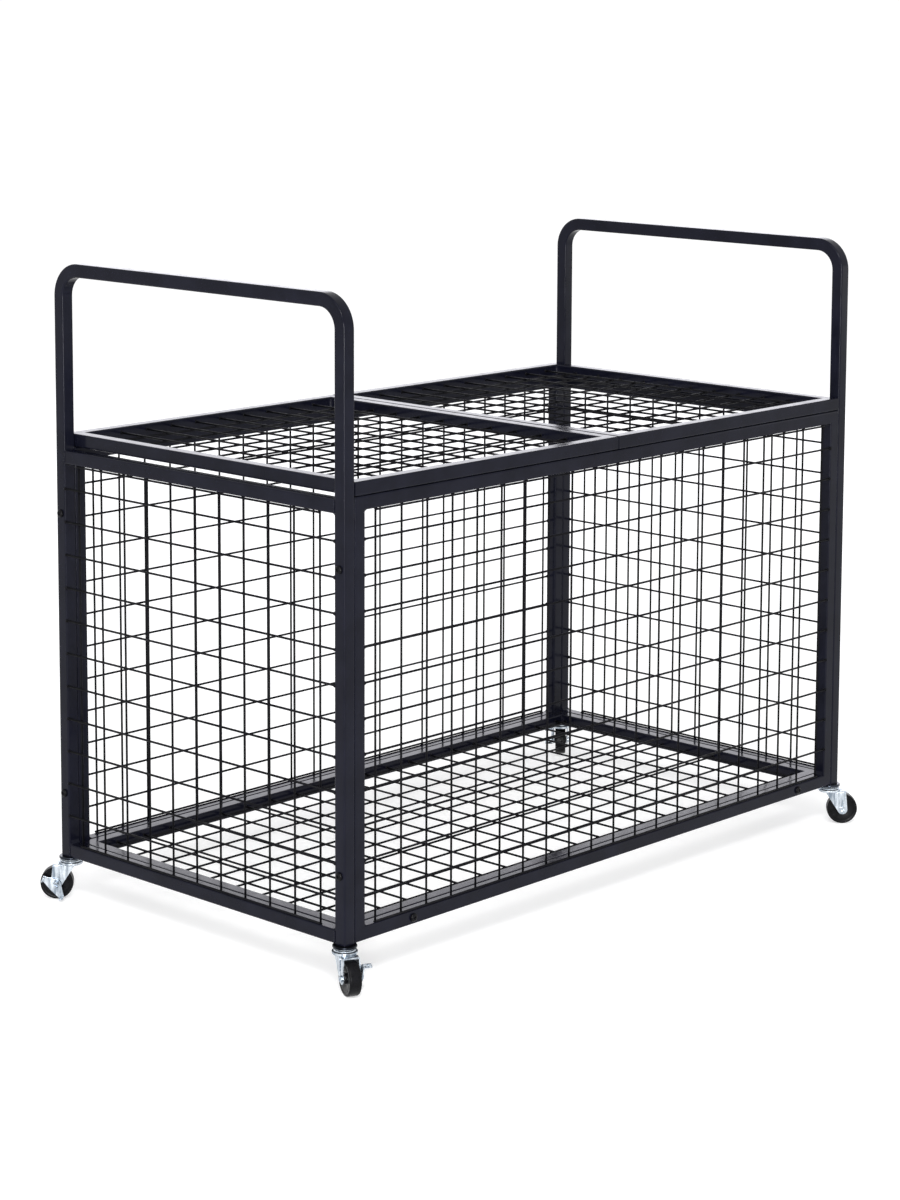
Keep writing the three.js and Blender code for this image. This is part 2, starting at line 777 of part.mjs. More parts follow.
// Casters, as they stand in the photograph: the way each one trails and where its lever rests
const casters = [
  { name: 'front_left', sx: -1, sy: -1, trailDeg: -114.2, leverDeg: 127 },
  { name: 'back_left', sx: -1, sy: 1, trailDeg: 133.7, leverDeg: -42.5 },
  { name: 'front_right', sx: 1, sy: -1, trailDeg: -46.3, leverDeg: 123 },
  { name: 'back_right', sx: 1, sy: 1, trailDeg: 41.6, leverDeg: 108 },
];
for (const { name, sx, sy, trailDeg, leverDeg } of casters) {
  const corner = at(new THREE.Group(), sx * postX, sy * postY, 0);
  corner.add(named(`caster_${name}_stem`, stem(), zinc));
  const swivel = new THREE.Group();
  swivel.rotation.z = trailDeg * Math.PI / 180;
  swivel.add(named(`caster_${name}_fork`, fork(), zinc));
  const hub = at(new THREE.Group(), casterTrail, 0, axleHeight);
  const pin = named(`caster_${name}_axle`, axle(), zinc);
  pin.rotation.x = -Math.PI / 2;
  const tyre = named(`caster_${name}_wheel`, wheel(), rubber);
  tyre.rotation.x = -Math.PI / 2;
  const lever = named(`caster_${name}_brake`, brakeLever(), zinc);
  lever.rotation.y = -leverDeg * Math.PI / 180;
  hub.add(pin, tyre, lever);
  swivel.add(hub);
  corner.add(swivel);
  cart.add(corner);
}

export default cart;
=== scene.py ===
"""Fine pieces, finishes, studio and camera for the ball cart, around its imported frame."""

import logging
import math
from collections.abc import Sequence
from dataclasses import dataclass, field
from enum import Enum
from typing import Any

import bmesh
import bpy
from mathutils import Matrix, Vector


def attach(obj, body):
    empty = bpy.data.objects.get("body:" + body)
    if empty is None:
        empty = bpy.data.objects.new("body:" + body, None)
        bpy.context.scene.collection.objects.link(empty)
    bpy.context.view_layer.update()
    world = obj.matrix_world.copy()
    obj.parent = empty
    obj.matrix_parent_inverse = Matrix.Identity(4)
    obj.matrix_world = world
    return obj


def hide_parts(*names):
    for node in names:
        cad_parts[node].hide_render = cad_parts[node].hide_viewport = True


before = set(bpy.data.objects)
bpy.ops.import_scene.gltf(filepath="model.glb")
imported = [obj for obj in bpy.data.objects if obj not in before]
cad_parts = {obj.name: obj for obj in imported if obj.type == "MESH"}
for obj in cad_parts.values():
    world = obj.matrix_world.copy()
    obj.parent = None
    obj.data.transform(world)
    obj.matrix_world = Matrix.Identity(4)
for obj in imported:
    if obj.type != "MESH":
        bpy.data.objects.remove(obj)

logging.basicConfig(level=logging.INFO, format="%(message)s")
LOG = logging.getLogger("ball_cart")

MM = 0.001
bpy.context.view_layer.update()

X = Vector((1, 0, 0))
Y = Vector((0, 1, 0))
Z = Vector((0, 0, 1))

Outline = Sequence[tuple[float, float]]
Hex = str

# Angles in degrees past which an edge stays sharp, on plain pieces and on bevelled ones
CREASE = 35.0
BEVELLED_CREASE = 60.0

# The part of the noise's range that is spread over a finish's tones and roughness
NOISE_LOW, NOISE_HIGH = 0.35, 0.65
NOISE_DETAIL = 3.0

# Seeds of the welds' sizes, one for each kind of net, to which a side or face adds its sign
END_SEED, PANEL_SEED, FLOOR_SEED, LID_SEED = 3, 11, 17, 23


class Side(Enum):
    """An end of the cart, seen from the front."""

    LEFT = -1
    RIGHT = 1

    @property
    def word(self) -> str:
        """The end's name in lower case."""
        return self.name.lower()


class Face(Enum):
    """A long face of the cart."""

    FRONT = -1
    BACK = 1

    @property
    def word(self) -> str:
        """The face's name in lower case."""
        return self.name.lower()


class Slot(Enum):
    """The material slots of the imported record."""

    COAT = "black_powder_coat"
    BOLT = "black_bolt"
    ZINC = "zinc_plate"
    RUBBER = "black_rubber"


# Sizes


@dataclass(frozen=True)
class CartSizes:
    """The cart's main sizes in millimetres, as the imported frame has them."""

    length: float = 1144
    depth: float = 610
    frame_bottom: float = 67
    panel_height: float = 624
    handle_rise: float = 277
    handle_bend: float = 40
    end_rail_drop: float = 2.5
    tube: float = 20
    tube_corner: float = 2.5
    tube_wall: float = 1.2
    seat_gap: float = 0.3
    lid_seam: float = 0.6
    lid_side_gap: float = 1
    lid_middle_gap: float = 1.5
    wire: float = 3.2
    wire_gap: float = 0.1
    border_gap: float = 1.9
    panel_net_depth: float = 3
    post_bolt_inset: float = 98
    floor_bolt_near: float = 111
    floor_bolt_far: float = 135
    hinge_inset: float = 110
    knuckle_radius: float = 4

    @property
    def panel_top(self) -> float:
        """Height of the panels' upper face."""
        return self.frame_bottom + self.panel_height

    @property
    def handle_top(self) -> float:
        """Height of the handles' upper face."""
        return self.panel_top + self.handle_rise

    @property
    def post_x(self) -> float:
        """Distance of a post's middle from the cart's middle, along X."""
        return (self.length - self.tube) / 2

    @property
    def post_y(self) -> float:
        """Distance of a post's middle from the cart's middle, along Y."""
        return (self.depth - self.tube) / 2

    @property
    def panel_width(self) -> float:
        """Width of the front, back and floor frames between the ends."""
        return self.length - 2 * (self.tube + self.seat_gap)

    @property
    def floor_depth(self) -> float:
        """Depth of the floor frame between the front and back frames."""
        return self.depth - 2 * (self.tube + self.seat_gap)

    @property
    def lid_width(self) -> float:
        """Width of one lid."""
        return self.length / 2 - self.tube - self.lid_side_gap - self.lid_middle_gap / 2

    @property
    def lid_bottom(self) -> float:
        """Height of the lids' lower face."""
        return self.panel_top + self.lid_seam

    @property
    def low_rail(self) -> float:
        """Height of the middle of the lowest rails."""
        return self.frame_bottom + self.tube / 2

    @property
    def end_top_rail(self) -> float:
        """Height of the middle of an end's upper rail."""
        return self.panel_top - self.end_rail_drop - self.tube / 2


# Nodes


def linear(code: Hex) -> tuple[float, float, float, float]:
    """Turns an sRGB hex colour into linear red, green, blue and alpha.

    Args:
        code: the colour as six hex digits after a hash.

    Returns:
        The linear colour.
    """
    shares = [int(code[i : i + 2], 16) / 255 for i in (1, 3, 5)]
    bends = [s / 12.92 if s <= 0.04045 else ((s + 0.055) / 1.055) ** 2.4 for s in shares]
    return (bends[0], bends[1], bends[2], 1.0)


def per_metre(size_mm: float) -> float:
    """Texture scale at which a pattern's features are this many millimetres apart."""
    return 1 / (size_mm * MM)


def add_node(
    tree: bpy.types.NodeTree,
    kind: str,
    settings: dict[str | int, Any] | None = None,
    links: dict[str | int, Any] | None = None,
) -> bpy.types.Node:
    """Adds a node with its settings and links.

    Args:
        tree: the tree that gets the node.
        kind: the node's type name.
        settings: properties by name, and values of unlinked inputs by name or number.
        links: output sockets, or lists of them, by the input that they feed.

    Returns:
        The new node.
    """
    node = tree.nodes.new(kind)
    for key, value in (settings or {}).items():
        if isinstance(key, str) and hasattr(node, key):
            setattr(node, key, value)
        else:
            node.inputs[key].default_value = value
    for key, sources in (links or {}).items():
        for source in sources if isinstance(sources, list) else [sources]:
            tree.links.new(source, node.inputs[key])
    return node


# Finishes


@dataclass(frozen=True)
class Finish:
    """A surface whose tone, gloss and relief wander with soft noise."""

    name: str
    tones: tuple[Hex, Hex]
    tone_mm: float
    roughness: tuple[float, float]
    roughness_mm: float
    relief_mm: float
    relief_depth_mm: float
    metallic: float
    specular: float
    stretch: tuple[float, float, float] = (1.0, 1.0, 1.0)

    def material(self) -> bpy.types.Material:
        """Builds the finish as a material.

        Returns:
            The material.
        """
        material = bpy.data.materials.new(self.name)
        material.use_nodes = True
        tree = material.node_tree
        tree.nodes.clear()
        where = add_node(tree, "ShaderNodeTexCoord").outputs["Object"]
        drawn = add_node(tree, "ShaderNodeMapping", {"Scale": self.stretch}, {"Vector": where})
        # The tone noise is random mottling on the coat, wire, bolts and rubber; on the zinc and
        # the dark cap it also paints reflections: dark bands on the zinc, bright streaks round the
        # cap.
        mottle_and_painted_reflection, patches, grain = (
            add_node(
                tree,
                "ShaderNodeTexNoise",
                {"Scale": per_metre(size_mm), "Detail": NOISE_DETAIL},
                {"Vector": place},
            ).outputs["Fac"]
            for size_mm, place in (
                (self.tone_mm, drawn.outputs[0]),
                (self.roughness_mm, where),
                (self.relief_mm, where),
            )
        )
        shade, gloss = (
            add_node(
                tree,
                "ShaderNodeMapRange",
                {"From Min": NOISE_LOW, "From Max": NOISE_HIGH, "To Min": low, "To Max": high},
                {"Value": noise},
            ).outputs[0]
            for noise, (low, high) in ((mottle_and_painted_reflection, (0.0, 1.0)), (patches, self.roughness))
        )
        tone = add_node(
            tree,
            "ShaderNodeMix",
            {"data_type": "RGBA", 6: linear(self.tones[0]), 7: linear(self.tones[1])},
            {0: shade},
        )
        relief = add_node(
            tree,
            "ShaderNodeBump",
            {"Strength": 1.0, "Distance": self.relief_depth_mm * MM},
            {"Height": grain},
        )
        shader = add_node(
            tree,
            "ShaderNodeBsdfPrincipled",
            {"Metallic": self.metallic, "Specular IOR Level": self.specular},
            {
                "Base Color": tone.outputs[2],
                "Roughness": gloss,
                "Normal": relief.outputs[0],
            },
        )
        add_node(tree, "ShaderNodeOutputMaterial", links={"Surface": shader.outputs[0]})
        return material


# Polyester powder coat, sprayed and baked on steel: soft sheen with orange peel
POWDER_COAT = Finish(
    name="polyester_powder_coat_baked_black",
    tones=("#0b0c16", "#11121d"),
    tone_mm=45,
    roughness=(0.13, 0.22),
    roughness_mm=12,
    relief_mm=1.6,
    relief_depth_mm=0.012,
    metallic=0.0,
    specular=0.105,
)

# Drawn steel wire, dipped in black: nearly no sheen, so that nets read as dark lines
DIPPED_WIRE = Finish(
    name="drawn_steel_wire_dipped_black",
    tones=("#08080b", "#0d0d11"),
    tone_mm=20,
    roughness=(0.45, 0.6),
    roughness_mm=8,
    relief_mm=1.2,
    relief_depth_mm=0.015,
    metallic=0.0,
    specular=0.06,
)

# Black oxide on cold formed steel: darker than the coat, with a small tight glint
BLACK_BOLT = Finish(
    name="black_oxide_steel_cold_formed",
    tones=("#050507", "#0b0b0e"),
    tone_mm=3,
    roughness=(0.14, 0.24),
    roughness_mm=2,
    relief_mm=0.8,
    relief_depth_mm=0.01,
    metallic=0.0,
    specular=0.1,
)

# Blue passivated zinc plate on pressed steel: bluish white, with cloudy patches that are partly
# the plating's own and partly painted reflection, long upright dark bands standing for mirrored
# dark surroundings
ZINC_PLATE = Finish(
    name="zinc_plated_steel_pressed",
    tones=("#7b8692", "#d3dae1"),
    tone_mm=5,
    roughness=(0.16, 0.3),
    roughness_mm=3,
    relief_mm=2.5,
    relief_depth_mm=0.03,
    metallic=1.0,
    specular=0.5,
    stretch=(1.0, 1.0, 0.15),
)

# Black passivated steel, turned: near black ring, with lighter streaks round it that are painted
# reflection along the turning marks
DARK_CAP = Finish(
    name="black_passivated_steel_turned",
    tones=("#15171b", "#3a3e46"),
    tone_mm=4,
    roughness=(0.14, 0.24),
    roughness_mm=3,
    relief_mm=1.2,
    relief_depth_mm=0.01,
    metallic=1.0,
    specular=0.5,
    stretch=(0.3, 0.3, 1.0),
)

# Hard rubber, moulded: deep black with a wide soft highlight on tread and shoulder
RUBBER = Finish(
    name="hard_rubber_moulded_black",
    tones=("#060608", "#0d0d10"),
    tone_mm=9,
    roughness=(0.24, 0.4),
    roughness_mm=6,
    relief_mm=1.0,
    relief_depth_mm=0.02,
    metallic=0.0,
    specular=0.1,
)


@dataclass(frozen=True)
class Finishes:
    """The materials that the pieces share."""

    coat: bpy.types.Material
    wire: bpy.types.Material
    bolt: bpy.types.Material
    zinc: bpy.types.Material
    cap: bpy.types.Material
    rubber: bpy.types.Material

    @staticmethod
    def mixed() -> "Finishes":
        """Builds every material once."""
        recipes = (POWDER_COAT, DIPPED_WIRE, BLACK_BOLT, ZINC_PLATE, DARK_CAP, RUBBER)
        return Finishes(*(recipe.material() for recipe in recipes))


# Drafts


@dataclass
class Draft:
    """Points and faces of a piece in the making, in millimetres."""

    points: list[Vector] = field(default_factory=list)
    faces: list[tuple[int, ...]] = field(default_factory=list)

    def add(self, other: "Draft") -> "Draft":
        """Takes in another draft.

        Args:
            other: the draft to take in.

        Returns:
            This draft.
        """
        start = len(self.points)
        self.points.extend(other.points)
        self.faces.extend(tuple(i + start for i in face) for face in other.faces)
        return self

    def placed(self, matrix: Matrix) -> "Draft":
        """A copy of the draft, moved by a matrix."""
        return Draft([matrix @ point for point in self.points], list(self.faces))


def moved(x: float, y: float, z: float) -> Matrix:
    """The matrix of a move along the three axes."""
    return Matrix.Translation((x, y, z))


def spun(degrees: float, axis: str) -> Matrix:
    """The matrix of a turn about one axis through the origin."""
    return Matrix.Rotation(math.radians(degrees), 4, axis)


def based(x: Vector, y: Vector, z: Vector, at: Vector) -> Matrix:
    """The matrix that lays local X, Y and Z along three directions at a place."""
    return Matrix.Translation(at) @ Matrix((x, y, z)).transposed().to_4x4()


def rounded_square(size: float, corner: float, steps: int) -> list[tuple[float, float]]:
    """A square section with round corners.

    Args:
        size: the square's side.
        corner: the corners' radius.
        steps: facets in each corner.

    Returns:
        The section's points, anticlockwise.
    """
    centre = size / 2 - corner
    points = []
    for quarter, (sx, sy) in enumerate(((1, 1), (-1, 1), (-1, -1), (1, -1))):
        for i in range(steps + 1):
            angle = (quarter + i / steps) * math.pi / 2
            across = sx * centre + corner * math.cos(angle)
            points.append((across, sy * centre + corner * math.sin(angle)))
    return points


@dataclass(frozen=True)
class Station:
    """A place on a path, with the two directions of the section there."""

    at: Vector
    out: Vector
    side: Vector

    def ring(self, section: Outline, onward: float = 0.0) -> list[Vector]:
        """The section's points here.

        Args:
            section: the section as pairs along out and side.
            onward: distance to shift the section along the path.

        Returns:
            The points.
        """
        shift = self.out.cross(self.side).normalized() * onward
        return [self.at + shift + self.out * a + self.side * b for a, b in section]


def skin(rings: Sequence[Sequence[Vector]], closed: bool) -> Draft:
    """Faces between rings of equal length.

    Args:
        rings: the rings in order.
        closed: whether the last ring joins the first.

    Returns:
        The draft, with flat ends where it isn't closed.
    """
    count = len(rings[0])
    draft = Draft([point for ring in rings for point in ring])
    spans = len(rings) if closed else len(rings) - 1
    for j in range(spans):
        near, far = j * count, (j + 1) % len(rings) * count
        for i in range(count):
            n = (i + 1) % count
            draft.faces.append((near + i, near + n, far + n, far + i))
    if not closed:
        last = (len(rings) - 1) * count
        draft.faces.append(tuple(range(count))[::-1])
        draft.faces.append(tuple(range(last, last + count)))
    return draft


def lathe(outline: Outline, sides: int, hexes: frozenset[int] = frozenset()) -> Draft:
    """A body of revolution about Z.

    Args:
        outline: pairs of radius and height; those on the axis become poles.
        sides: facets round the axis.
        hexes: numbers of the pairs whose ring is a hexagon of that half width.

    Returns:
        The draft; an outline that leaves the axis free joins up with itself.
    """
    draft = Draft()
    rings: list[list[int]] = []
    for k, (radius, height) in enumerate(outline):
        start = len(draft.points)
        if radius == 0:
            draft.points.append(Vector((0, 0, height)))
            rings.append([start] * sides)
            continue
        for i in range(sides):
            turn = 2 * math.pi * i / sides
            sixth = (turn + math.pi / 6) % (math.pi / 3) - math.pi / 6
            reach = radius / math.cos(sixth) if k in hexes else radius
            draft.points.append(Vector((reach * math.cos(turn), reach * math.sin(turn), height)))
        rings.append(list(range(start, start + sides)))
    joined = outline[0][0] != 0 or outline[-1][0] != 0
    for k in range(len(rings) if joined else len(rings) - 1):
        near, far = rings[k], rings[(k + 1) % len(rings)]
        for i in range(sides):
            n = (i + 1) % sides
            corners = dict.fromkeys((near[i], near[n], far[n], far[i]))
            draft.faces.append(tuple(corners))
    return draft


def prism(outline: Outline, low: float, high: float) -> Draft:
    """An outline in X and Z with its thickness along Y.

    Args:
        outline: the corners as pairs.
        low: where the plate starts along Y.
        high: where it ends.

    Returns:
        The draft.
    """
    rings = [[Vector((x, y, z)) for x, z in outline] for y in (low, high)]
    return skin(rings, closed=False)


def fillet(
    at: Vector, along: Vector, up: Vector, radius: float, half: float, sunk: float = 0.3
) -> Draft:
    """A hollow weld fillet in the corner of two faces.

    Args:
        at: the corner's middle.
        along: the way that one face runs from the corner.
        up: the way that the other face runs from it.
        radius: the fillet's radius.
        half: half of its length.
        sunk: how deep it goes into both faces.

    Returns:
        The draft.
    """
    curve = reversed(arc(radius, radius, radius, 180, 270, 6))
    outline = [(-sunk, -sunk), (radius, -sunk), *curve, (-sunk, radius)]
    way = along.cross(up)
    flats = [at + along * a + up * b for a, b in outline]
    rings = [[point + way * reach for point in flats] for reach in (-half, half)]
    return skin(rings, closed=False)


def arc(
    x: float, z: float, radius: float, start: float, end: float, steps: int
) -> list[tuple[float, float]]:
    """Points along an arc, both ends included.

    Args:
        x: the centre's first coordinate.
        z: the centre's second coordinate.
        radius: the arc's radius.
        start: the first angle in degrees.
        end: the last angle in degrees.
        steps: facets along the arc.

    Returns:
        The points.
    """
    angles = [math.radians(start + (end - start) * i / steps) for i in range(steps + 1)]
    return [(x + radius * math.cos(a), z + radius * math.sin(a)) for a in angles]


# Meshes


def bare_object(name: str, draft: Draft) -> bpy.types.Object:
    """A draft as an object in metres, with its faces turned outwards.

    Args:
        name: the object's name.
        draft: the points and faces.

    Returns:
        The object, linked to the scene.
    """
    mesh = bpy.data.meshes.new(name)
    mesh.from_pydata([point * MM for point in draft.points], [], draft.faces)
    shell = bmesh.new()
    shell.from_mesh(mesh)
    bmesh.ops.remove_doubles(shell, verts=shell.verts, dist=0.001 * MM)
    bmesh.ops.recalc_face_normals(shell, faces=shell.faces)
    shell.to_mesh(mesh)
    shell.free()
    piece = bpy.data.objects.new(name, mesh)
    bpy.context.scene.collection.objects.link(piece)
    return piece


def baked(piece: bpy.types.Object) -> bpy.types.Object:
    """Turns what a piece's modifiers make into its plain mesh.

    Args:
        piece: the object with its modifiers.

    Returns:
        The same object without them.
    """
    evaluated = piece.evaluated_get(bpy.context.evaluated_depsgraph_get())
    mesh = bpy.data.meshes.new_from_object(evaluated)
    mesh.name = piece.name
    piece.modifiers.clear()
    piece.data = mesh
    return piece


def smoothed(piece: bpy.types.Object, crease: float) -> bpy.types.Object:
    """Shades a piece smooth between creases, with flat faces kept flat.

    Args:
        piece: the object.
        crease: the angle in degrees past which an edge stays sharp.

    Returns:
        The same object.
    """
    piece.data.shade_smooth()
    piece.data.set_sharp_from_angle(angle=math.radians(crease))
    weighted = piece.modifiers.new("weighted", "WEIGHTED_NORMAL")
    weighted.keep_sharp = True
    return baked(piece)


def shaped(
    name: str,
    draft: Draft,
    material: bpy.types.Material,
    edge: float = 0.0,
    crease: float = CREASE,
) -> bpy.types.Object:
    """Makes a finished piece out of a draft.

    Args:
        name: the piece's name.
        draft: its points and faces.
        material: its finish.
        edge: width in millimetres that its sharp edges are rounded by.
        crease: the angle in degrees past which an edge counts as sharp.

    Returns:
        The piece.
    """
    piece = bare_object(name, draft)
    piece.data.materials.append(material)
    if edge:
        bevel = piece.modifiers.new("edges", "BEVEL")
        bevel.width = edge * MM
        bevel.segments = 2
        bevel.limit_method = "ANGLE"
        bevel.angle_limit = math.radians(crease)
        baked(piece)
        crease = BEVELLED_CREASE
    return smoothed(piece, crease)


def overlap(first: Draft, second: Draft) -> Draft:
    """What two closed drafts share.

    Args:
        first: the draft that is cut.
        second: the draft that it is cut to.

    Returns:
        The shared part as a draft.
    """
    body, tool = bare_object("body", first), bare_object("tool", second)
    cut = body.modifiers.new("cut", "BOOLEAN")
    cut.operation = "INTERSECT"
    cut.solver = "EXACT"
    cut.object = tool
    baked(body)
    points = [vertex.co / MM for vertex in body.data.vertices]
    shared = Draft(points, [tuple(face.vertices) for face in body.data.polygons])
    bpy.data.objects.remove(body)
    bpy.data.objects.remove(tool)
    return shared


def handed_over(
    piece: bpy.types.Object, body: str, nodes: Sequence[str]
) -> bpy.types.Object:
    """Lets a piece ride on its body and stand for its nodes.

    Args:
        piece: the finished piece.
        body: the body that it moves with.
        nodes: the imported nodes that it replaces.

    Returns:
        The same piece.
    """
    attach(piece, body)
    if nodes:
        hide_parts(*nodes)
    LOG.info("%s: %d faces on %s", piece.name, len(piece.data.polygons), body)
    return piece


# Geometry Nodes


class Recipe:
    """A Geometry Nodes tree with named inputs that is run once for each piece."""

    title = ""
    inputs: dict[str, str] = {}
    ball_segments = 8
    ball_rings = 5

    def __init__(self) -> None:
        """Builds the tree with its inputs, and closes it with the finish."""
        self.tree = bpy.data.node_groups.new(self.title, "GeometryNodeTree")
        sockets = {"Start": "Geometry", **self.inputs, "Finish": "Material"}
        self.keys = {
            name: self.tree.interface.new_socket(
                name, in_out="INPUT", socket_type="NodeSocket" + kind
            ).identifier
            for name, kind in sockets.items()
        }
        self.tree.interface.new_socket(
            "Piece", in_out="OUTPUT", socket_type="NodeSocketGeometry"
        )
        self.given = add_node(self.tree, "NodeGroupInput").outputs
        shape = self.built()
        realized = add_node(self.tree, "GeometryNodeRealizeInstances", {}, {0: shape})
        dressed = add_node(
            self.tree,
            "GeometryNodeSetMaterial",
            {},
            {"Geometry": realized.outputs[0], "Material": self.given["Finish"]},
        )
        add_node(self.tree, "NodeGroupOutput", {}, {0: dressed.outputs[0]})

    def built(self) -> Any:
        """The tree's own part; each recipe has its own."""
        raise NotImplementedError

    def run(
        self,
        name: str,
        values: dict[str, Any],
        material: bpy.types.Material,
        base: bpy.types.Mesh | None = None,
    ) -> bpy.types.Object:
        """Runs the tree and keeps its result as a plain mesh.

        Args:
            name: the piece's name.
            values: values by the names of the inputs.
            material: the piece's finish.
            base: the mesh that the tree starts from, if it needs one.

        Returns:
            The piece.
        """
        piece = bpy.data.objects.new(name, base or bpy.data.meshes.new(name))
        bpy.context.scene.collection.objects.link(piece)
        modifier = piece.modifiers.new(self.title, "NODES")
        modifier.node_group = self.tree
        for key, value in {**values, "Finish": material}.items():
            modifier[self.keys[key]] = value
        return baked(piece)

    def dabs(self, spots: Any, radius: Any, size: Any) -> Any:
        """Small smooth balls of few faces, as welds on points.

        Args:
            spots: the socket with the points.
            radius: the socket with the balls' radius.
            size: the socket with each ball's stretch.

        Returns:
            The socket with the balls.
        """
        tree = self.tree
        ball = add_node(
            tree,
            "GeometryNodeMeshUVSphere",
            {"Segments": self.ball_segments, "Rings": self.ball_rings},
            {"Radius": radius},
        )
        smooth = add_node(tree, "GeometryNodeSetShadeSmooth", {}, {0: ball.outputs[0]})
        wires = {"Points": spots, "Instance": smooth.outputs[0], "Scale": size}
        return add_node(tree, "GeometryNodeInstanceOnPoints", {}, wires).outputs[0]


class WireNet(Recipe):
    """Round wires in two layers, fused where they cross and at their ends."""

    title = "welded wire net"
    inputs = {
        "Wire Diameter": "Float",
        "Layer Offset": "Float",
        "Column Length": "Float",
        "Columns": "Int",
        "First Column": "Float",
        "Column Pitch": "Float",
        "Row Length": "Float",
        "Rows": "Int",
        "First Row": "Float",
        "Row Pitch": "Float",
        "Border Rows": "Bool",
        "Border Place": "Float",
        "Border Middle": "Float",
        "Border Length": "Float",
        "Seed": "Int",
    }
    wire_sides = 12
    crossing_share = 0.55
    end_share = 0.85
    flatness = (0.9, 1.15)
    height = (1.0, 1.25)
    lying_y = (math.pi / 2, 0, 0)
    lying_x = (0, math.pi / 2, 0)

    def built(self) -> Any:
        """Columns along Y above the middle plane, rows along X below it.

        Returns:
            The socket with the wires and their welds.
        """
        tree, given = self.tree, self.given
        numbers = {
            name: add_node(
                tree, "ShaderNodeMath", {"operation": "MULTIPLY", 1: factor}, {0: given[source]}
            ).outputs[0]
            for name, source, factor in (
                ("radius", "Wire Diameter", 0.5),
                ("crossing weld", "Wire Diameter", self.crossing_share),
                ("end weld", "Wire Diameter", self.end_share),
                ("row level", "Layer Offset", -1.0),
                ("border start", "Border Place", -1.0),
                ("border span", "Border Place", 2.0),
                ("column start", "Column Length", -0.5),
                ("row start", "Row Length", -0.5),
            )
        }
        vectors = {
            name: add_node(tree, "ShaderNodeCombineXYZ", {}, links).outputs[0]
            for name, links in {
                "first column": {"X": given["First Column"]},
                "next column": {"X": given["Column Pitch"]},
                "first row": {"Y": given["First Row"]},
                "next row": {"Y": given["Row Pitch"]},
                "first border": {"Y": numbers["border start"]},
                "next border": {"Y": numbers["border span"]},
                "column place": {"Z": given["Layer Offset"]},
                "row place": {"Z": numbers["row level"]},
                "border place": {"X": given["Border Middle"], "Z": numbers["row level"]},
                "column foot": {"Y": numbers["column start"], "Z": given["Layer Offset"]},
                "column head": {"Y": given["Column Length"]},
                "row foot": {"X": numbers["row start"], "Z": numbers["row level"]},
                "row head": {"X": given["Row Length"]},
            }.items()
        }
        columns, rows, borders, column_ends, row_ends = (
            add_node(
                tree,
                "GeometryNodeMeshLine",
                {"mode": "OFFSET", **settings},
                {"Start Location": vectors[start], "Offset": vectors[step], **links},
            ).outputs[0]
            for start, step, settings, links in (
                ("first column", "next column", {}, {"Count": given["Columns"]}),
                ("first row", "next row", {}, {"Count": given["Rows"]}),
                ("first border", "next border", {"Count": 2}, {}),
                ("column foot", "column head", {"Count": 2}, {}),
                ("row foot", "row head", {"Count": 2}, {}),
            )
        )
        edged = add_node(
            tree,
            "GeometryNodeSwitch",
            {"input_type": "GEOMETRY"},
            {"Switch": given["Border Rows"], "True": borders},
        ).outputs[0]
        parts = []
        for points, length, turn, place in (
            (columns, "Column Length", self.lying_y, "column place"),
            (rows, "Row Length", self.lying_x, "row place"),
            (edged, "Border Length", self.lying_x, "border place"),
        ):
            bar = add_node(
                tree,
                "GeometryNodeMeshCylinder",
                {"Vertices": self.wire_sides},
                {"Radius": numbers["radius"], "Depth": given[length]},
            )
            smooth = add_node(tree, "GeometryNodeSetShadeSmooth", {}, {0: bar.outputs[0]})
            laid = add_node(
                tree,
                "GeometryNodeInstanceOnPoints",
                {"Rotation": turn},
                {"Points": points, "Instance": smooth.outputs[0]},
            )
            lifted = add_node(
                tree,
                "GeometryNodeTransform",
                {},
                {"Geometry": laid.outputs[0], "Translation": vectors[place]},
            )
            parts.append(lifted.outputs[0])
        stretches = (
            add_node(
                tree,
                "FunctionNodeRandomValue",
                {"data_type": "FLOAT", 2: low, 3: high},
                {"Seed": given["Seed"]},
            ).outputs[1]
            for low, high in (self.flatness, self.flatness, self.height)
        )
        size = add_node(tree, "ShaderNodeCombineXYZ", {}, dict(zip("XYZ", stretches))).outputs[0]
        across = add_node(tree, "GeometryNodeJoinGeometry", {}, {0: [rows, edged]}).outputs[0]
        for points, crossed, radius in (
            (columns, across, "crossing weld"),
            (columns, column_ends, "end weld"),
            (rows, row_ends, "end weld"),
        ):
            wires = {"Points": points, "Instance": crossed}
            both = add_node(tree, "GeometryNodeInstanceOnPoints", {}, wires)
            spots = add_node(tree, "GeometryNodeRealizeInstances", {}, {0: both.outputs[0]})
            parts.append(self.dabs(spots.outputs[0], numbers[radius], size))
        return add_node(tree, "GeometryNodeJoinGeometry", {}, {0: parts}).outputs[0]


class WeldBead(Recipe):
    """Overlapping ripples of weld along every edge of the base mesh."""

    title = "weld bead"
    inputs = {"Bead Radius": "Float", "Ripple Pitch": "Float", "Seed": "Int"}
    unevenness = (0.8, 1.2)

    def built(self) -> Any:
        """Ripples of uneven size along the edges.

        Returns:
            The socket with the ripples.
        """
        tree, given = self.tree, self.given
        line = add_node(tree, "GeometryNodeMeshToCurve", {}, {0: given["Start"]})
        steps = add_node(
            tree,
            "GeometryNodeResampleCurve",
            {"mode": "LENGTH"},
            {"Curve": line.outputs[0], "Length": given["Ripple Pitch"]},
        )
        spots = add_node(
            tree, "GeometryNodeCurveToPoints", {"mode": "EVALUATED"}, {0: steps.outputs[0]}
        )
        low, high = self.unevenness
        size = add_node(
            tree,
            "FunctionNodeRandomValue",
            {"data_type": "FLOAT", 2: low, 3: high},
            {"Seed": given["Seed"]},
        ).outputs[1]
        even = add_node(tree, "ShaderNodeCombineXYZ", {}, {"X": size, "Y": size, "Z": size})
        return self.dabs(spots.outputs[0], given["Bead Radius"], even.outputs[0])


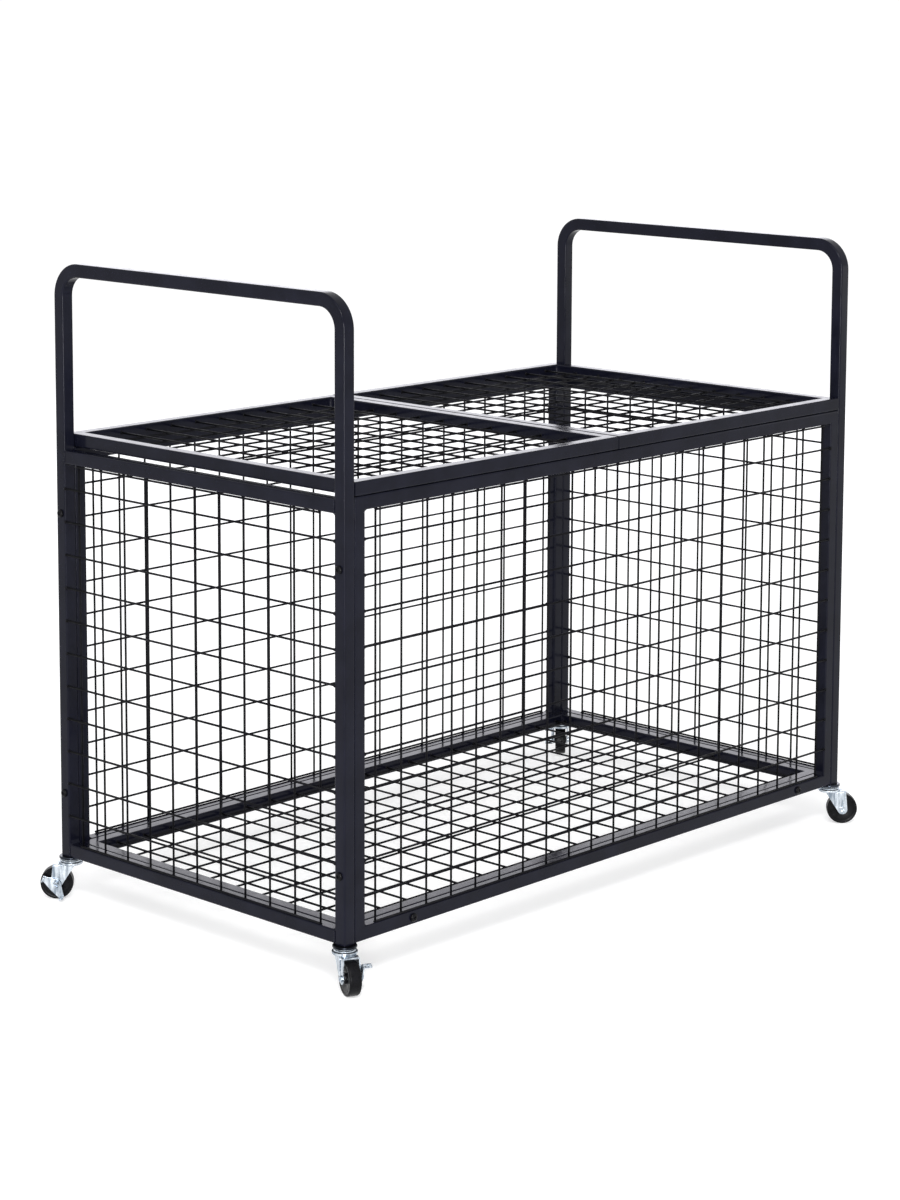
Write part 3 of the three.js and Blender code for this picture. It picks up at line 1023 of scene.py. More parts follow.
class Heads(Recipe):
    """A fastener's head on every point, facing along the point's direction."""

    title = "fastener heads"
    inputs = {"Head": "Object"}

    def built(self) -> Any:
        """Heads turned from Z to each point's direction.

        Returns:
            The socket with the heads.
        """
        tree, given = self.tree, self.given
        head = add_node(tree, "GeometryNodeObjectInfo", {}, {"Object": given["Head"]})
        named = {"data_type": "FLOAT_VECTOR", "Name": "facing"}
        facing = add_node(tree, "GeometryNodeInputNamedAttribute", named)
        turn = add_node(
            tree, "FunctionNodeAlignRotationToVector", {"axis": "Z"}, {"Vector": facing.outputs[0]}
        )
        wires = {
            "Points": given["Start"],
            "Instance": head.outputs["Geometry"],
            "Rotation": turn.outputs[0],
        }
        return add_node(tree, "GeometryNodeInstanceOnPoints", {}, wires).outputs[0]


@dataclass
class Workshop:
    """What every sub-assembly is made with: sizes, finishes and recipes."""

    sizes: CartSizes
    finishes: Finishes
    net: WireNet
    bead: WeldBead
    heads: Heads
    corner_steps: int = 4
    ripple_share: float = 0.9

    @staticmethod
    def opened() -> "Workshop":
        """Sets the workshop up."""
        return Workshop(CartSizes(), Finishes.mixed(), WireNet(), WeldBead(), Heads())

    def section(self) -> list[tuple[float, float]]:
        """The outer section of the square tube."""
        return rounded_square(self.sizes.tube, self.sizes.tube_corner, self.corner_steps)

    def ring(self, width: float, height: float) -> Draft:
        """Four mitred tubes in the XY plane.

        Args:
            width: outer size along X.
            height: outer size along Y.

        Returns:
            The draft.
        """
        x, y = (width - self.sizes.tube) / 2, (height - self.sizes.tube) / 2
        corners = ((-1, -1), (-1, 1), (1, 1), (1, -1))
        stations = [
            Station(Vector((sx * x, sy * y, 0)), Vector((sx, sy, 0)), Z) for sx, sy in corners
        ]
        return skin([station.ring(self.section()) for station in stations], closed=True)

    def welds(
        self, name: str, runs: Sequence[tuple[Vector, Vector]], radius: float, seed: int
    ) -> bpy.types.Object:
        """Weld beads along straight runs.

        Args:
            name: the piece's name.
            runs: the two ends of each run, in millimetres.
            radius: the bead's radius in millimetres.
            seed: the seed for the ripples' sizes.

        Returns:
            The piece, not yet handed over.
        """
        base = bpy.data.meshes.new(name)
        points = [end * MM for run in runs for end in run]
        base.from_pydata(points, [(2 * i, 2 * i + 1) for i in range(len(runs))], [])
        pitch = self.ripple_share * radius
        values = {"Bead Radius": radius * MM, "Ripple Pitch": pitch * MM, "Seed": seed}
        return self.bead.run(name, values, self.finishes.coat, base)

    def fastened(
        self,
        name: str,
        head: Draft,
        material: bpy.types.Material,
        spots: Sequence[tuple[Vector, Vector]],
    ) -> bpy.types.Object:
        """Heads of one kind at several places.

        Args:
            name: the piece's name.
            head: the head about Z, with its seat at zero.
            material: the heads' finish.
            spots: place in millimetres and direction of each head.

        Returns:
            The piece, not yet handed over.
        """
        model = shaped(f"{name}_model", head, material)
        base = bpy.data.meshes.new(name)
        base.from_pydata([place * MM for place, _ in spots], [], [])
        facing = base.attributes.new("facing", "FLOAT_VECTOR", "POINT")
        facing.data.foreach_set("vector", [c for _, way in spots for c in way])
        piece = self.heads.run(name, {"Head": model}, material, base)
        bpy.data.objects.remove(model)
        return piece


# Wire nets


@dataclass(frozen=True)
class NetLayout:
    """The wires of one net: the first gaps in its opening and the pitches, in millimetres."""

    first_column: float
    column_pitch: float
    first_row: float
    row_pitch: float
    bordered: bool = True
    reach: float = 0.5

    @staticmethod
    def places(span: float, first_gap: float, pitch: float, margin: float) -> list[float]:
        """Wire places from one side of an opening, as many as fit.

        Args:
            span: the opening's size.
            first_gap: distance of the first wire from the opening's edge.
            pitch: distance between wires.
            margin: what stays free at the far edge.

        Returns:
            The places from the opening's middle.
        """
        count = math.floor((span - first_gap - margin) / pitch) + 1
        return [first_gap - span / 2 + i * pitch for i in range(count)]

    def made(
        self, name: str, shop: Workshop, opening: tuple[float, float], place: Matrix, seed: int
    ) -> bpy.types.Object:
        """Runs the net's recipe and lays the net in place.

        Args:
            name: the piece's name.
            shop: the workshop.
            opening: the size of the opening that it fills.
            place: where the net's XY plane goes.
            seed: the seed for the welds' sizes.

        Returns:
            The piece, not yet handed over.
        """
        width, height = opening
        sizes = shop.sizes
        margin = sizes.border_gap
        columns = self.places(width, self.first_column, self.column_pitch, margin)
        rows = self.places(height, self.first_row, self.row_pitch, margin)
        side = sizes.wire * math.sqrt(math.pi) / 2
        values = {
            "Wire Diameter": sizes.wire * MM,
            "Layer Offset": (side + sizes.wire_gap) / 2 * MM,
            "Column Length": (height + 2 * self.reach) * MM,
            "Columns": len(columns),
            "First Column": columns[0] * MM,
            "Column Pitch": self.column_pitch * MM,
            "Row Length": (width + 2 * self.reach) * MM,
            "Rows": len(rows),
            "First Row": rows[0] * MM,
            "Row Pitch": self.row_pitch * MM,
            "Border Rows": self.bordered,
            "Border Place": (height / 2 - sizes.border_gap) * MM,
            "Border Middle": (columns[0] + columns[-1]) / 2 * MM,
            "Border Length": (columns[-1] - columns[0] + sizes.wire) * MM,
            "Seed": seed,
        }
        piece = shop.net.run(name, values, shop.finishes.wire)
        scaled = Matrix.Translation(place.translation * MM) @ place.to_3x3().to_4x4()
        piece.data.transform(scaled)
        return piece


END_NETS = {
    Side.LEFT: NetLayout(31.8, 51.1, 44, 50),
    Side.RIGHT: NetLayout(35.9, 51.1, 44, 50),
}
PANEL_NETS = {
    Face.FRONT: NetLayout(17.9, 51.1, 44, 50),
    Face.BACK: NetLayout(26.6, 51.1, 44, 50),
}
FLOOR_NET = NetLayout(35.7, 53.1, 24, 55.2, bordered=False)
LID_NETS = {
    Side.LEFT: NetLayout(19.5, 50, 14.5, 51, bordered=False),
    Side.RIGHT: NetLayout(21, 51.1, 14.5, 51, bordered=False),
}


# Frames


@dataclass
class EndFrame:
    """One end: two posts and a handle bent from one tube, with two rails and a net."""

    shop: Workshop
    side: Side
    bend_steps: int = 24
    lip_depth: float = 30
    rail_reach: float = 0.5
    bead: float = 1.3
    fillet_radius: float = 6

    def stations(self) -> list[Station]:
        """The path of the handle tube, from the front post's foot to the back post's.

        Returns:
            The stations in order.
        """
        sizes = self.shop.sizes
        x, y = self.side.value * sizes.post_x, sizes.post_y
        bend_z = sizes.handle_top - sizes.tube / 2 - sizes.handle_bend
        path = []

        def pass_by(at_y: float, at_z: float, angle: float) -> None:
            """Adds a station.

            Args:
                at_y: its place along Y.
                at_z: its height.
                angle: how far its section is turned, in radians.
            """
            out = Vector((0, -math.cos(angle), math.sin(angle)))
            path.append(Station(Vector((x, at_y, at_z)), out, X))

        pass_by(-y, sizes.frame_bottom, 0)
        for centre, start in ((sizes.handle_bend - y, 0), (y - sizes.handle_bend, math.pi / 2)):
            for i in range(self.bend_steps + 1):
                angle = start + i / self.bend_steps * math.pi / 2
                at_y = centre - sizes.handle_bend * math.cos(angle)
                pass_by(at_y, bend_z + sizes.handle_bend * math.sin(angle), angle)
        pass_by(y, sizes.frame_bottom, math.pi)
        return path

    def handle(self) -> Draft:
        """The bent tube, hollow at both feet.

        Returns:
            The draft.
        """
        sizes = self.shop.sizes
        outside = self.shop.section()
        bore = sizes.tube - 2 * sizes.tube_wall
        corner = sizes.tube_corner - sizes.tube_wall
        inside = rounded_square(bore, corner, self.shop.corner_steps)
        path = self.stations()
        rings = [
            path[0].ring(inside, self.lip_depth),
            path[0].ring(inside),
            *(station.ring(outside) for station in path),
            path[-1].ring(inside),
            path[-1].ring(inside, -self.lip_depth),
        ]
        return skin(rings, closed=False)

    def rail(self, z: float) -> Draft:
        """A rail between the posts.

        Args:
            z: the height of its middle.

        Returns:
            The draft.
        """
        sizes = self.shop.sizes
        reach = sizes.post_y - sizes.tube / 2 + self.rail_reach
        x = self.side.value * sizes.post_x
        ends = [Station(Vector((x, y, z)), Z, X) for y in (-reach, reach)]
        return skin([end.ring(self.shop.section()) for end in ends], closed=False)

    def weld_runs(self) -> list[tuple[Vector, Vector]]:
        """Round each rail where it meets a post.

        Returns:
            The two ends of each run.
        """
        sizes = self.shop.sizes
        half, short = sizes.tube / 2, sizes.tube / 2 - sizes.tube_corner
        x = self.side.value * sizes.post_x
        runs = []
        for z in (sizes.low_rail, sizes.end_top_rail):
            for y in (-(sizes.post_y - half), sizes.post_y - half):
                for level in (-half, half):
                    runs.append(
                        (Vector((x - short, y, z + level)), Vector((x + short, y, z + level)))
                    )
                    runs.append(
                        (Vector((x + level, y, z - short)), Vector((x + level, y, z + short)))
                    )
        return runs

    def fillets(self) -> Draft:
        """In the four corners of the opening between posts and rails.

        Returns:
            The draft.
        """
        sizes = self.shop.sizes
        half = sizes.tube / 2
        draft = Draft()
        for way, z in ((1, sizes.low_rail + half), (-1, sizes.end_top_rail - half)):
            for hand in (-1, 1):
                at = Vector((self.side.value * sizes.post_x, hand * (sizes.post_y - half), z))
                short = half - sizes.tube_corner
                draft.add(fillet(at, Y * -hand, Z * way, self.fillet_radius, short))
        return draft

    def build(self) -> None:
        """Makes the tube, the rails, their welds and the net."""
        sizes, word, coat = self.shop.sizes, self.side.word, self.shop.finishes.coat
        tube = shaped(f"{word}_handle_and_posts", self.handle(), coat)
        handed_over(tube, "cage", [f"{word}_handle_tube"])
        both = self.rail(sizes.low_rail).add(self.rail(sizes.end_top_rail))
        rails = shaped(f"{word}_end_rails", both, coat)
        handed_over(rails, "cage", [f"{word}_top_rail", f"{word}_bottom_rail"])
        seed = END_SEED + self.side.value
        welds = self.shop.welds(f"{word}_end_welds", self.weld_runs(), self.bead, seed)
        handed_over(welds, "cage", [])
        corners = shaped(f"{word}_end_fillets", self.fillets(), coat)
        handed_over(corners, "cage", [])
        height = sizes.end_top_rail - sizes.low_rail - sizes.tube
        opening = (sizes.depth - 2 * sizes.tube, height)
        inward = X * -self.side.value
        middle = Vector((0, 0, (sizes.end_top_rail + sizes.low_rail) / 2))
        plane = inward * (sizes.panel_net_depth - sizes.length / 2)
        place = based(Z.cross(inward), Z, inward, middle + plane)
        layout = END_NETS[self.side]
        net = layout.made(f"{word}_end_wires", self.shop, opening, place, seed)
        handed_over(net, "cage", [f"{word}_mesh"])


@dataclass
class RingFrame:
    """A mitred frame of square tube with a net in its opening."""

    shop: Workshop
    name: str
    body: str
    nodes: tuple[str, str]
    width: float
    height: float
    place: Matrix
    layout: NetLayout
    seed: int
    net_shift: float = 0.0
    fillet_radius: float = 6

    def fillets(self) -> Draft:
        """In each inner corner, through the tube's thickness.

        Returns:
            The draft.
        """
        sizes = self.shop.sizes
        short = sizes.tube / 2 - sizes.tube_corner
        x, y = self.width / 2 - sizes.tube, self.height / 2 - sizes.tube
        draft = Draft()
        for sx in (-1, 1):
            for sy in (-1, 1):
                at = Vector((sx * x, sy * y, 0))
                draft.add(fillet(at, X * -sx, Y * -sy, self.fillet_radius, short))
        return draft.placed(self.place)

    def build(self) -> None:
        """Makes the frame, its corner fillets and the net."""
        ring = self.shop.ring(self.width, self.height).placed(self.place)
        rails = shaped(f"{self.name}_rails", ring, self.shop.finishes.coat)
        handed_over(rails, self.body, [self.nodes[0]])
        corners = shaped(f"{self.name}_fillets", self.fillets(), self.shop.finishes.coat)
        handed_over(corners, self.body, [])
        tube = self.shop.sizes.tube
        opening = (self.width - 2 * tube, self.height - 2 * tube)
        title = f"{self.name}_wires"
        plane = self.place @ moved(0, 0, self.net_shift)
        net = self.layout.made(title, self.shop, opening, plane, self.seed)
        handed_over(net, self.body, [self.nodes[1]])


def panel(shop: Workshop, face: Face) -> RingFrame:
    """The front or back panel.

    Args:
        shop: the workshop.
        face: which of the two.

    Returns:
        The frame, not yet built.
    """
    sizes = shop.sizes
    width, height = sizes.panel_width, sizes.panel_height
    middle = Vector((0, face.value * sizes.post_y, sizes.frame_bottom + height / 2))
    inward = Y * -face.value
    return RingFrame(
        shop,
        f"{face.word}_panel",
        "cage",
        (f"{face.word}_frame", f"{face.word}_mesh"),
        width,
        height,
        based(Z.cross(inward), Z, inward, middle),
        PANEL_NETS[face],
        PANEL_SEED + face.value,
        sizes.panel_net_depth - sizes.tube / 2,
    )


def cage_floor(shop: Workshop) -> RingFrame:
    """The cage's floor.

    Args:
        shop: the workshop.

    Returns:
        The frame, not yet built.
    """
    sizes = shop.sizes
    width, height = sizes.panel_width, sizes.floor_depth
    return RingFrame(
        shop,
        "cage_floor",
        "cage",
        ("floor_frame", "floor_mesh"),
        width,
        height,
        based(X, Y, Z, Vector((0, 0, sizes.low_rail))),
        FLOOR_NET,
        FLOOR_SEED,
    )


def lid(shop: Workshop, side: Side) -> RingFrame:
    """One lid.

    Args:
        shop: the workshop.
        side: which of the two.

    Returns:
        The frame, not yet built.
    """
    sizes = shop.sizes
    width, height = sizes.lid_width, sizes.depth
    x = side.value * (sizes.lid_middle_gap + width) / 2
    return RingFrame(
        shop,
        f"{side.word}_lid",
        f"{side.word}_lid",
        (f"{side.word}_lid_frame", f"{side.word}_lid_mesh"),
        width,
        height,
        based(X, Y, Z, Vector((x, 0, sizes.lid_bottom + sizes.tube / 2))),
        LID_NETS[side],
        LID_SEED + side.value,
    )


# Fasteners and hinges


@dataclass
class FrameBolts:
    """Button head bolts that hold the ends, the panels and the floor together."""

    shop: Workshop
    dome_steps: int = 6
    head_radius: float = 6
    head_height: float = 3.5
    rim: float = 0.9
    crown_radius: float = 3.6
    socket: float = 2
    socket_depth: float = 2.2
    sides: int = 36

    def head(self) -> Draft:
        """A domed head with a hexagon socket.

        Returns:
            The draft, with its seat at zero.
        """
        top, gap = self.head_height, self.shop.sizes.seat_gap
        dome = []
        for i in range(self.dome_steps + 1):
            turn = math.radians(90 / self.dome_steps * i)
            radius = self.crown_radius + (self.head_radius - self.crown_radius) * math.cos(turn)
            dome.append((radius, gap + self.rim + (top - self.rim) * math.sin(turn)))
        lip = gap + top
        outline = [
            (0, 0),
            (self.head_radius, 0),
            *dome,
            (self.socket + 0.5, lip),
            (self.socket, lip - 0.3),
            (self.socket, lip - self.socket_depth),
            (0, lip - self.socket_depth - 0.6),
        ]
        last = len(outline) - 1
        return lathe(outline, self.sides, frozenset({last - 2, last - 1}))

    def build(self) -> None:
        """Puts the heads on the posts and on the lowest rails."""
        sizes = self.shop.sizes
        levels = {
            "low": sizes.frame_bottom + sizes.post_bolt_inset,
            "high": sizes.panel_top - sizes.post_bolt_inset,
        }
        spots, nodes = [], []
        for side in Side:
            for face in Face:
                for level, z in levels.items():
                    x, y = side.value * sizes.length / 2, face.value * sizes.post_y
                    spots.append((Vector((x, y, z)), X * side.value))
                    nodes.append(f"bolt_{face.word}_{side.word}_{level}")
                near = side.value != face.value
                inset = sizes.floor_bolt_near if near else sizes.floor_bolt_far
                x = side.value * (sizes.length / 2 - inset)
                place = Vector((x, face.value * sizes.depth / 2, sizes.low_rail))
                spots.append((place, Y * face.value))
                nodes.append(f"bolt_{face.word}_{side.word}_floor")
        piece = self.shop.fastened("frame_bolts", self.head(), self.shop.finishes.bolt, spots)
        handed_over(smoothed(piece, CREASE), "cage", nodes)


@dataclass
class LidHinges:
    """Pressed hinges at the back, with a fixed leaf below and a moving one above."""

    shop: Workshop
    width: float = 50
    leaf_height: float = 15
    leaf_thickness: float = 1.5
    middle: float = 20
    knuckle_sides: int = 28
    pin_head: float = 2.6
    rivet_inset: float = 8
    rivet_radius: float = 2.6
    rivet_height: float = 1.1
    rivet_drop: float = 4.2
    rivet_sunk: float = 0.2
    ease: float = 0.4
    leaf_corner: float = 2
    pin_proud: float = 0.8
    edge: float = 0.3

    def axis(self, side: Side, hand: int) -> Vector:
        """The middle of one hinge's axis.

        Args:
            side: the lid's side.
            hand: -1 for the lid's left hinge and 1 for its right one.

        Returns:
            The place.
        """
        sizes = self.shop.sizes
        x = side.value * (sizes.lid_middle_gap + sizes.lid_width) / 2
        x += hand * (sizes.lid_width / 2 - sizes.hinge_inset)
        y = sizes.depth / 2 + sizes.seat_gap + sizes.knuckle_radius
        return Vector((x, y, sizes.panel_top + sizes.lid_seam / 2))

    def barrel(self, low: float, high: float, radius: float) -> Draft:
        """A knuckle with eased ends.

        Args:
            low: where it starts along X.
            high: where it ends.
            radius: its radius.

        Returns:
            The draft.
        """
        ease = self.ease
        outline = [
            (0, low),
            (radius - ease, low),
            (radius, low + ease),
            (radius, high - ease),
            (radius - ease, high),
            (0, high),
        ]
        return lathe(outline, self.knuckle_sides).placed(spun(90, "Y"))

    def leaf(self, outline: Outline) -> Draft:
        """A plate of the leaf's thickness, on the side towards the tube."""
        inner = -self.shop.sizes.knuckle_radius
        return prism(outline, inner, inner + self.leaf_thickness)

    def fixed(self) -> Draft:
        """The lower leaf with its two knuckles and the pin.

        Returns:
            The draft about the hinge's axis.
        """
        half, inner = self.width / 2, self.middle / 2 + self.shop.sizes.seat_gap
        notch = -self.shop.sizes.knuckle_radius - self.shop.sizes.seat_gap
        foot, cut = -self.leaf_height, self.leaf_corner
        outline = [
            (-half, 0),
            (-half, foot + cut),
            (-half + cut, foot),
            (half - cut, foot),
            (half, foot + cut),
            (half, 0),
            (inner, 0),
            (inner, notch),
            (-inner, notch),
            (-inner, 0),
        ]
        radius = self.shop.sizes.knuckle_radius
        draft = self.leaf(outline)
        draft.add(self.barrel(inner, half, radius))
        draft.add(self.barrel(-half, -inner, radius))
        reach = half + self.pin_proud
        return draft.add(self.barrel(-reach, reach, self.pin_head))

    def moving(self) -> Draft:
        """The upper leaf with the middle knuckle.

        Returns:
            The draft about the hinge's axis.
        """
        half, inner = self.width / 2, self.middle / 2
        notch = self.shop.sizes.knuckle_radius + self.shop.sizes.seat_gap
        head, cut = self.leaf_height, self.leaf_corner
        outline = [
            (-half, notch),
            (-inner, notch),
            (-inner, 0),
            (inner, 0),
            (inner, notch),
            (half, notch),
            (half, head - cut),
            (half - cut, head),
            (-half + cut, head),
            (-half, head - cut),
        ]
        return self.leaf(outline).add(self.barrel(-inner, inner, self.shop.sizes.knuckle_radius))

    def rivet(self) -> Draft:
        """A low domed rivet head about Z.

        Returns:
            The draft, with its seat at zero.
        """
        steps = [math.radians(18 * i) for i in range(6)]
        dome = [(self.rivet_radius * math.cos(t), self.rivet_height * math.sin(t)) for t in steps]
        foot = [(0, -self.rivet_sunk), (self.rivet_radius, -self.rivet_sunk)]
        return lathe([*foot, *dome[:-1], (0, dome[-1][1])], 20)

    def build(self) -> None:
        """Makes every fixed leaf as one piece and each lid's leaves as another."""
        coat = self.shop.finishes.coat
        level = self.leaf_height - self.rivet_drop
        skin_y = self.leaf_thickness - self.shop.sizes.knuckle_radius
        below, nodes, spots = Draft(), [], []
        for side in Side:
            above, own, own_spots = Draft(), [], []
            for hand, word in ((-1, "left"), (1, "right")):
                middle = self.axis(side, hand)
                place = Matrix.Translation(middle)
                below.add(self.fixed().placed(place))
                above.add(self.moving().placed(place))
                nodes.append(f"{side.word}_lid_hinge_{word}_fixed")
                own.append(f"{side.word}_lid_hinge_{word}_moving")
                for reach in (-1, 1):
                    x = reach * (self.width / 2 - self.rivet_inset)
                    spots.append((middle + Vector((x, skin_y, -level)), Y))
                    own_spots.append((middle + Vector((x, skin_y, level)), Y))
            piece = shaped(f"{side.word}_lid_hinge_leaves", above, coat, self.edge)
            handed_over(piece, f"{side.word}_lid", own)
            name = f"{side.word}_lid_hinge_rivets"
            rivets = self.shop.fastened(name, self.rivet(), coat, own_spots)
            handed_over(smoothed(rivets, CREASE), f"{side.word}_lid", [])
        piece = shaped("back_rail_hinge_leaves", below, coat, self.edge)
        handed_over(piece, "cage", nodes)
        rivets = self.shop.fastened("back_rail_hinge_rivets", self.rivet(), coat, spots)
        handed_over(smoothed(rivets, CREASE), "cage", [])


# Casters


@dataclass(frozen=True)
class Stand:
    """How one caster stands: its corner, the way it trails and its lever's rest."""

    side: Side
    face: Face
    trail_deg: float
    lever_deg: float

    @property
    def corner(self) -> str:
        """The corner's name."""
        return f"{self.face.word}_{self.side.word}"


STANDS = (
    Stand(Side.LEFT, Face.FRONT, -114.2, 127),
    Stand(Side.LEFT, Face.BACK, 133.7, -42.5),
    Stand(Side.RIGHT, Face.FRONT, -46.3, 123),
    Stand(Side.RIGHT, Face.BACK, 41.6, 108),
)


@dataclass
class Caster:
    """A swivel caster: cap and race under the post, pressed fork, wheel and side brake."""

    shop: Workshop
    stand: Stand
    wheel_radius: float = 25
    wheel_half: float = 9
    shoulder: float = 2.6
    hub_radius: float = 7
    hub_half: float = 10.7
    groove_radius: float = 10
    trail: float = 21
    leg_inside: float = 11
    leg_outside: float = 13
    press_radius: float = 3
    front: float = 8
    shoulder_front: float = 4.3
    shoulder_z: float = 49.5
    leg_top: float = 57
    rear: float = 26.2
    rear_top: float = 54.8
    boss: float = 8
    crown_bottom: float = 53.5
    crown_radius: float = 18.3
    crown_top: float = 58
    race_bottom: float = 58.3
    race_radius: float = 16
    cap_bottom: float = 62.5
    cap_radius: float = 17.5
    cap_top: float = 66.7
    rivet_radius: float = 6.5
    rivet_bottom: float = 51
    axle_radius: float = 2.5
    axle_head: float = 4.75
    lever_inside: float = 14.3
    lever_outside: float = 16.3
    tip_radius: float = 22.5
    tip_deg: float = 70
    tip_width: float = 7
    lever_boss: float = 7.5
    tab_length: float = 11
    lever_hub: float = 5
    lever_hub_top: float = 15.5
    rib_back: float = 6.5
    rib_drop: float = 4
    rib_length: float = 20
    rib_half: float = 3
    rib_rise: float = 1
    rib_sunk: float = 0.5
    gap: float = 0.3
    fork_edge: float = 0.35
    lever_edge: float = 0.45
    wheel_crease: float = 50
    sides: int = 56
    small_sides: int = 32
    wheel_sides: int = 72

    def corner(self) -> Matrix:
        """The place of the swivel axis on the floor.

        Returns:
            The matrix.
        """
        sizes = self.shop.sizes
        return moved(
            self.stand.side.value * sizes.post_x, self.stand.face.value * sizes.post_y, 0
        )

    def swivel(self) -> Matrix:
        """The place of what turns with the fork."""
        return self.corner() @ spun(self.stand.trail_deg, "Z")

    def hub(self) -> Matrix:
        """The place of the axle, with local Z along it towards the brake."""
        return self.swivel() @ moved(self.trail, 0, self.wheel_radius) @ spun(-90, "X")

    def head(self) -> Draft:
        """The race under the cap, the rivet below the crown and the plug in the post.

        Returns:
            The draft about the swivel axis.
        """
        sizes = self.shop.sizes
        r = self.race_radius
        race = [
            (0, self.rivet_bottom + 0.3),
            (self.rivet_radius - 1.8, self.rivet_bottom),
            (self.rivet_radius - 0.5, self.rivet_bottom + 0.6),
            (self.rivet_radius, self.crown_bottom - 0.6),
            (self.rivet_radius - 0.6, self.crown_bottom - 0.3),
            (4, self.crown_bottom - 0.3),
            (4, self.race_bottom),
            (r - 0.7, self.race_bottom),
            (r, self.race_bottom + 0.7),
            (r, self.race_bottom + 2.2),
            (r - 1.1, self.race_bottom + 3.2),
            (r - 1.1, self.cap_bottom + 0.5),
            (0, self.cap_bottom + 0.5),
        ]
        plug = sizes.tube - 2 * sizes.tube_wall - 2 * sizes.seat_gap
        section = rounded_square(plug, sizes.tube_corner - sizes.tube_wall, 3)
        low, high = self.cap_top - 2, self.cap_top + 24
        ends = [Station(Vector((0, 0, z)), X, Y) for z in (low, high)]
        return lathe(race, self.sides).add(skin([e.ring(section) for e in ends], closed=False))

    def cap(self) -> Draft:
        """The dark pressed cap that covers the race.

        Returns:
            The draft about the swivel axis.
        """
        r = self.cap_radius
        outline = [
            (0, self.cap_bottom),
            (r - 2.2, self.cap_bottom),
            *arc(r - 1.6, self.cap_bottom + 1.6, 1.6, -90, 0, 4),
            *arc(r - 1.8, self.cap_top - 1.8, 1.8, 0, 90, 4),
            (0, self.cap_top),
        ]
        return lathe(outline, self.sides)

    def leg_outline(self) -> list[tuple[float, float]]:
        """The side view of the fork, from its front edge round the boss to its rear.

        Returns:
            The corners, with the trail along X.
        """
        axle = Vector((self.trail, self.wheel_radius))
        start = Vector((-self.shoulder_front, self.shoulder_z))
        away = axle - start
        lean = math.atan2(away.y, away.x) - math.asin(self.boss / away.length)
        first = math.degrees(lean) - 90
        return [
            (-self.front, self.leg_top + 6),
            (-self.front, self.leg_top),
            (-self.front + 0.8, self.leg_top - 2.6),
            (-self.shoulder_front - 0.9, self.shoulder_z + 1.8),
            (-self.shoulder_front + 0.6, self.shoulder_z - 0.7),
            *arc(axle.x, axle.y, self.boss, first, 0, 20),
            (self.rear, self.rear_top),
            (self.rear, self.leg_top + 6),
        ]

    def fork(self) -> Draft:
        """Two legs and their web, pressed from one sheet, under the round crown.

        Returns:
            The draft about the swivel axis, with the trail along X.
        """
        inner, outer = self.leg_inside, self.leg_outside
        bend, foot = self.press_radius, -45.0
        gauge = outer - inner
        tight = bend - gauge
        section = [
            (-outer, foot),
            *reversed(arc(-outer + bend, -bend, bend, 90, 180, 6)),
            *reversed(arc(outer - bend, -bend, bend, 0, 90, 6)),
            (outer, foot),
            (inner, foot),
            *arc(inner - tight, -bend, tight, 0, 90, 3),
            *arc(-inner + tight, -bend, tight, 90, 180, 3),
            (-inner, foot),
        ]
        slope = (self.rear_top - self.leg_top) / (self.rear + self.front)
        rings = []
        for s in (-self.front - 4, self.rear + 8):
            top = self.leg_top + slope * (s + self.front)
            rings.append([Vector((s, y, top + z)) for y, z in section])
        sheet = overlap(skin(rings, closed=False), prism(self.leg_outline(), -20, 20))
        return sheet.add(self.crown()).add(self.ribs())

    def crown(self) -> Draft:
        """The dished crown that carries the balls of the race.

        Returns:
            The draft about the swivel axis.
        """
        r = self.crown_radius
        outline = [
            (0, self.crown_bottom),
            (r - 3.2, self.crown_bottom),
            *arc(r - 2.2, self.crown_bottom + 2.2, 2.2, -90, 0, 5),
            (r, self.crown_top - 0.8),
            *arc(r - 0.8, self.crown_top - 0.8, 0.8, 0, 90, 3),
            (r - 1.9, self.crown_top - 0.2),
            (r - 2.6, self.crown_top - 1.0),
            (0, self.crown_top - 1.0),
        ]
        return lathe(outline, self.sides)

    def ribs(self) -> Draft:
        """A raised rib on the outside of each leg.

        Returns:
            The draft, with the trail along X.
        """
        x, top, half = self.trail - self.rib_back, self.crown_top - self.rib_drop, self.rib_half
        outline = [
            *arc(x, top - half, half, 0, 180, 8),
            *arc(x, top - self.rib_length + half, half, 180, 360, 8),
        ]
        low, high = self.leg_outside - self.rib_sunk, self.leg_outside + self.rib_rise
        return prism(outline, low, high).add(prism(outline, -high, -low))

    def axle(self) -> Draft:
        """The riveted axle, with a hollow in each head.

        Returns:
            The draft about Z.
        """
        low, high, gap = -self.leg_outside, self.lever_outside, self.gap
        r, tall = self.axle_head, 2.5
        outline = [
            (0, low - gap - tall + 1.1),
            (r - 3.0, low - gap - tall + 0.9),
            (r - 2.2, low - gap - tall),
            (r - 1.2, low - gap - tall),
            (r, low - gap - tall + 1.0),
            (r, low - gap),
            (self.axle_radius, low - gap),
            (self.axle_radius, high + gap),
            (r, high + gap),
            (r, high + gap + tall - 1.0),
            (r - 1.2, high + gap + tall),
            (r - 2.2, high + gap + tall),
            (r - 3.0, high + gap + tall - 0.9),
            (0, high + gap + tall - 1.1),
        ]
        return lathe(outline, self.small_sides)

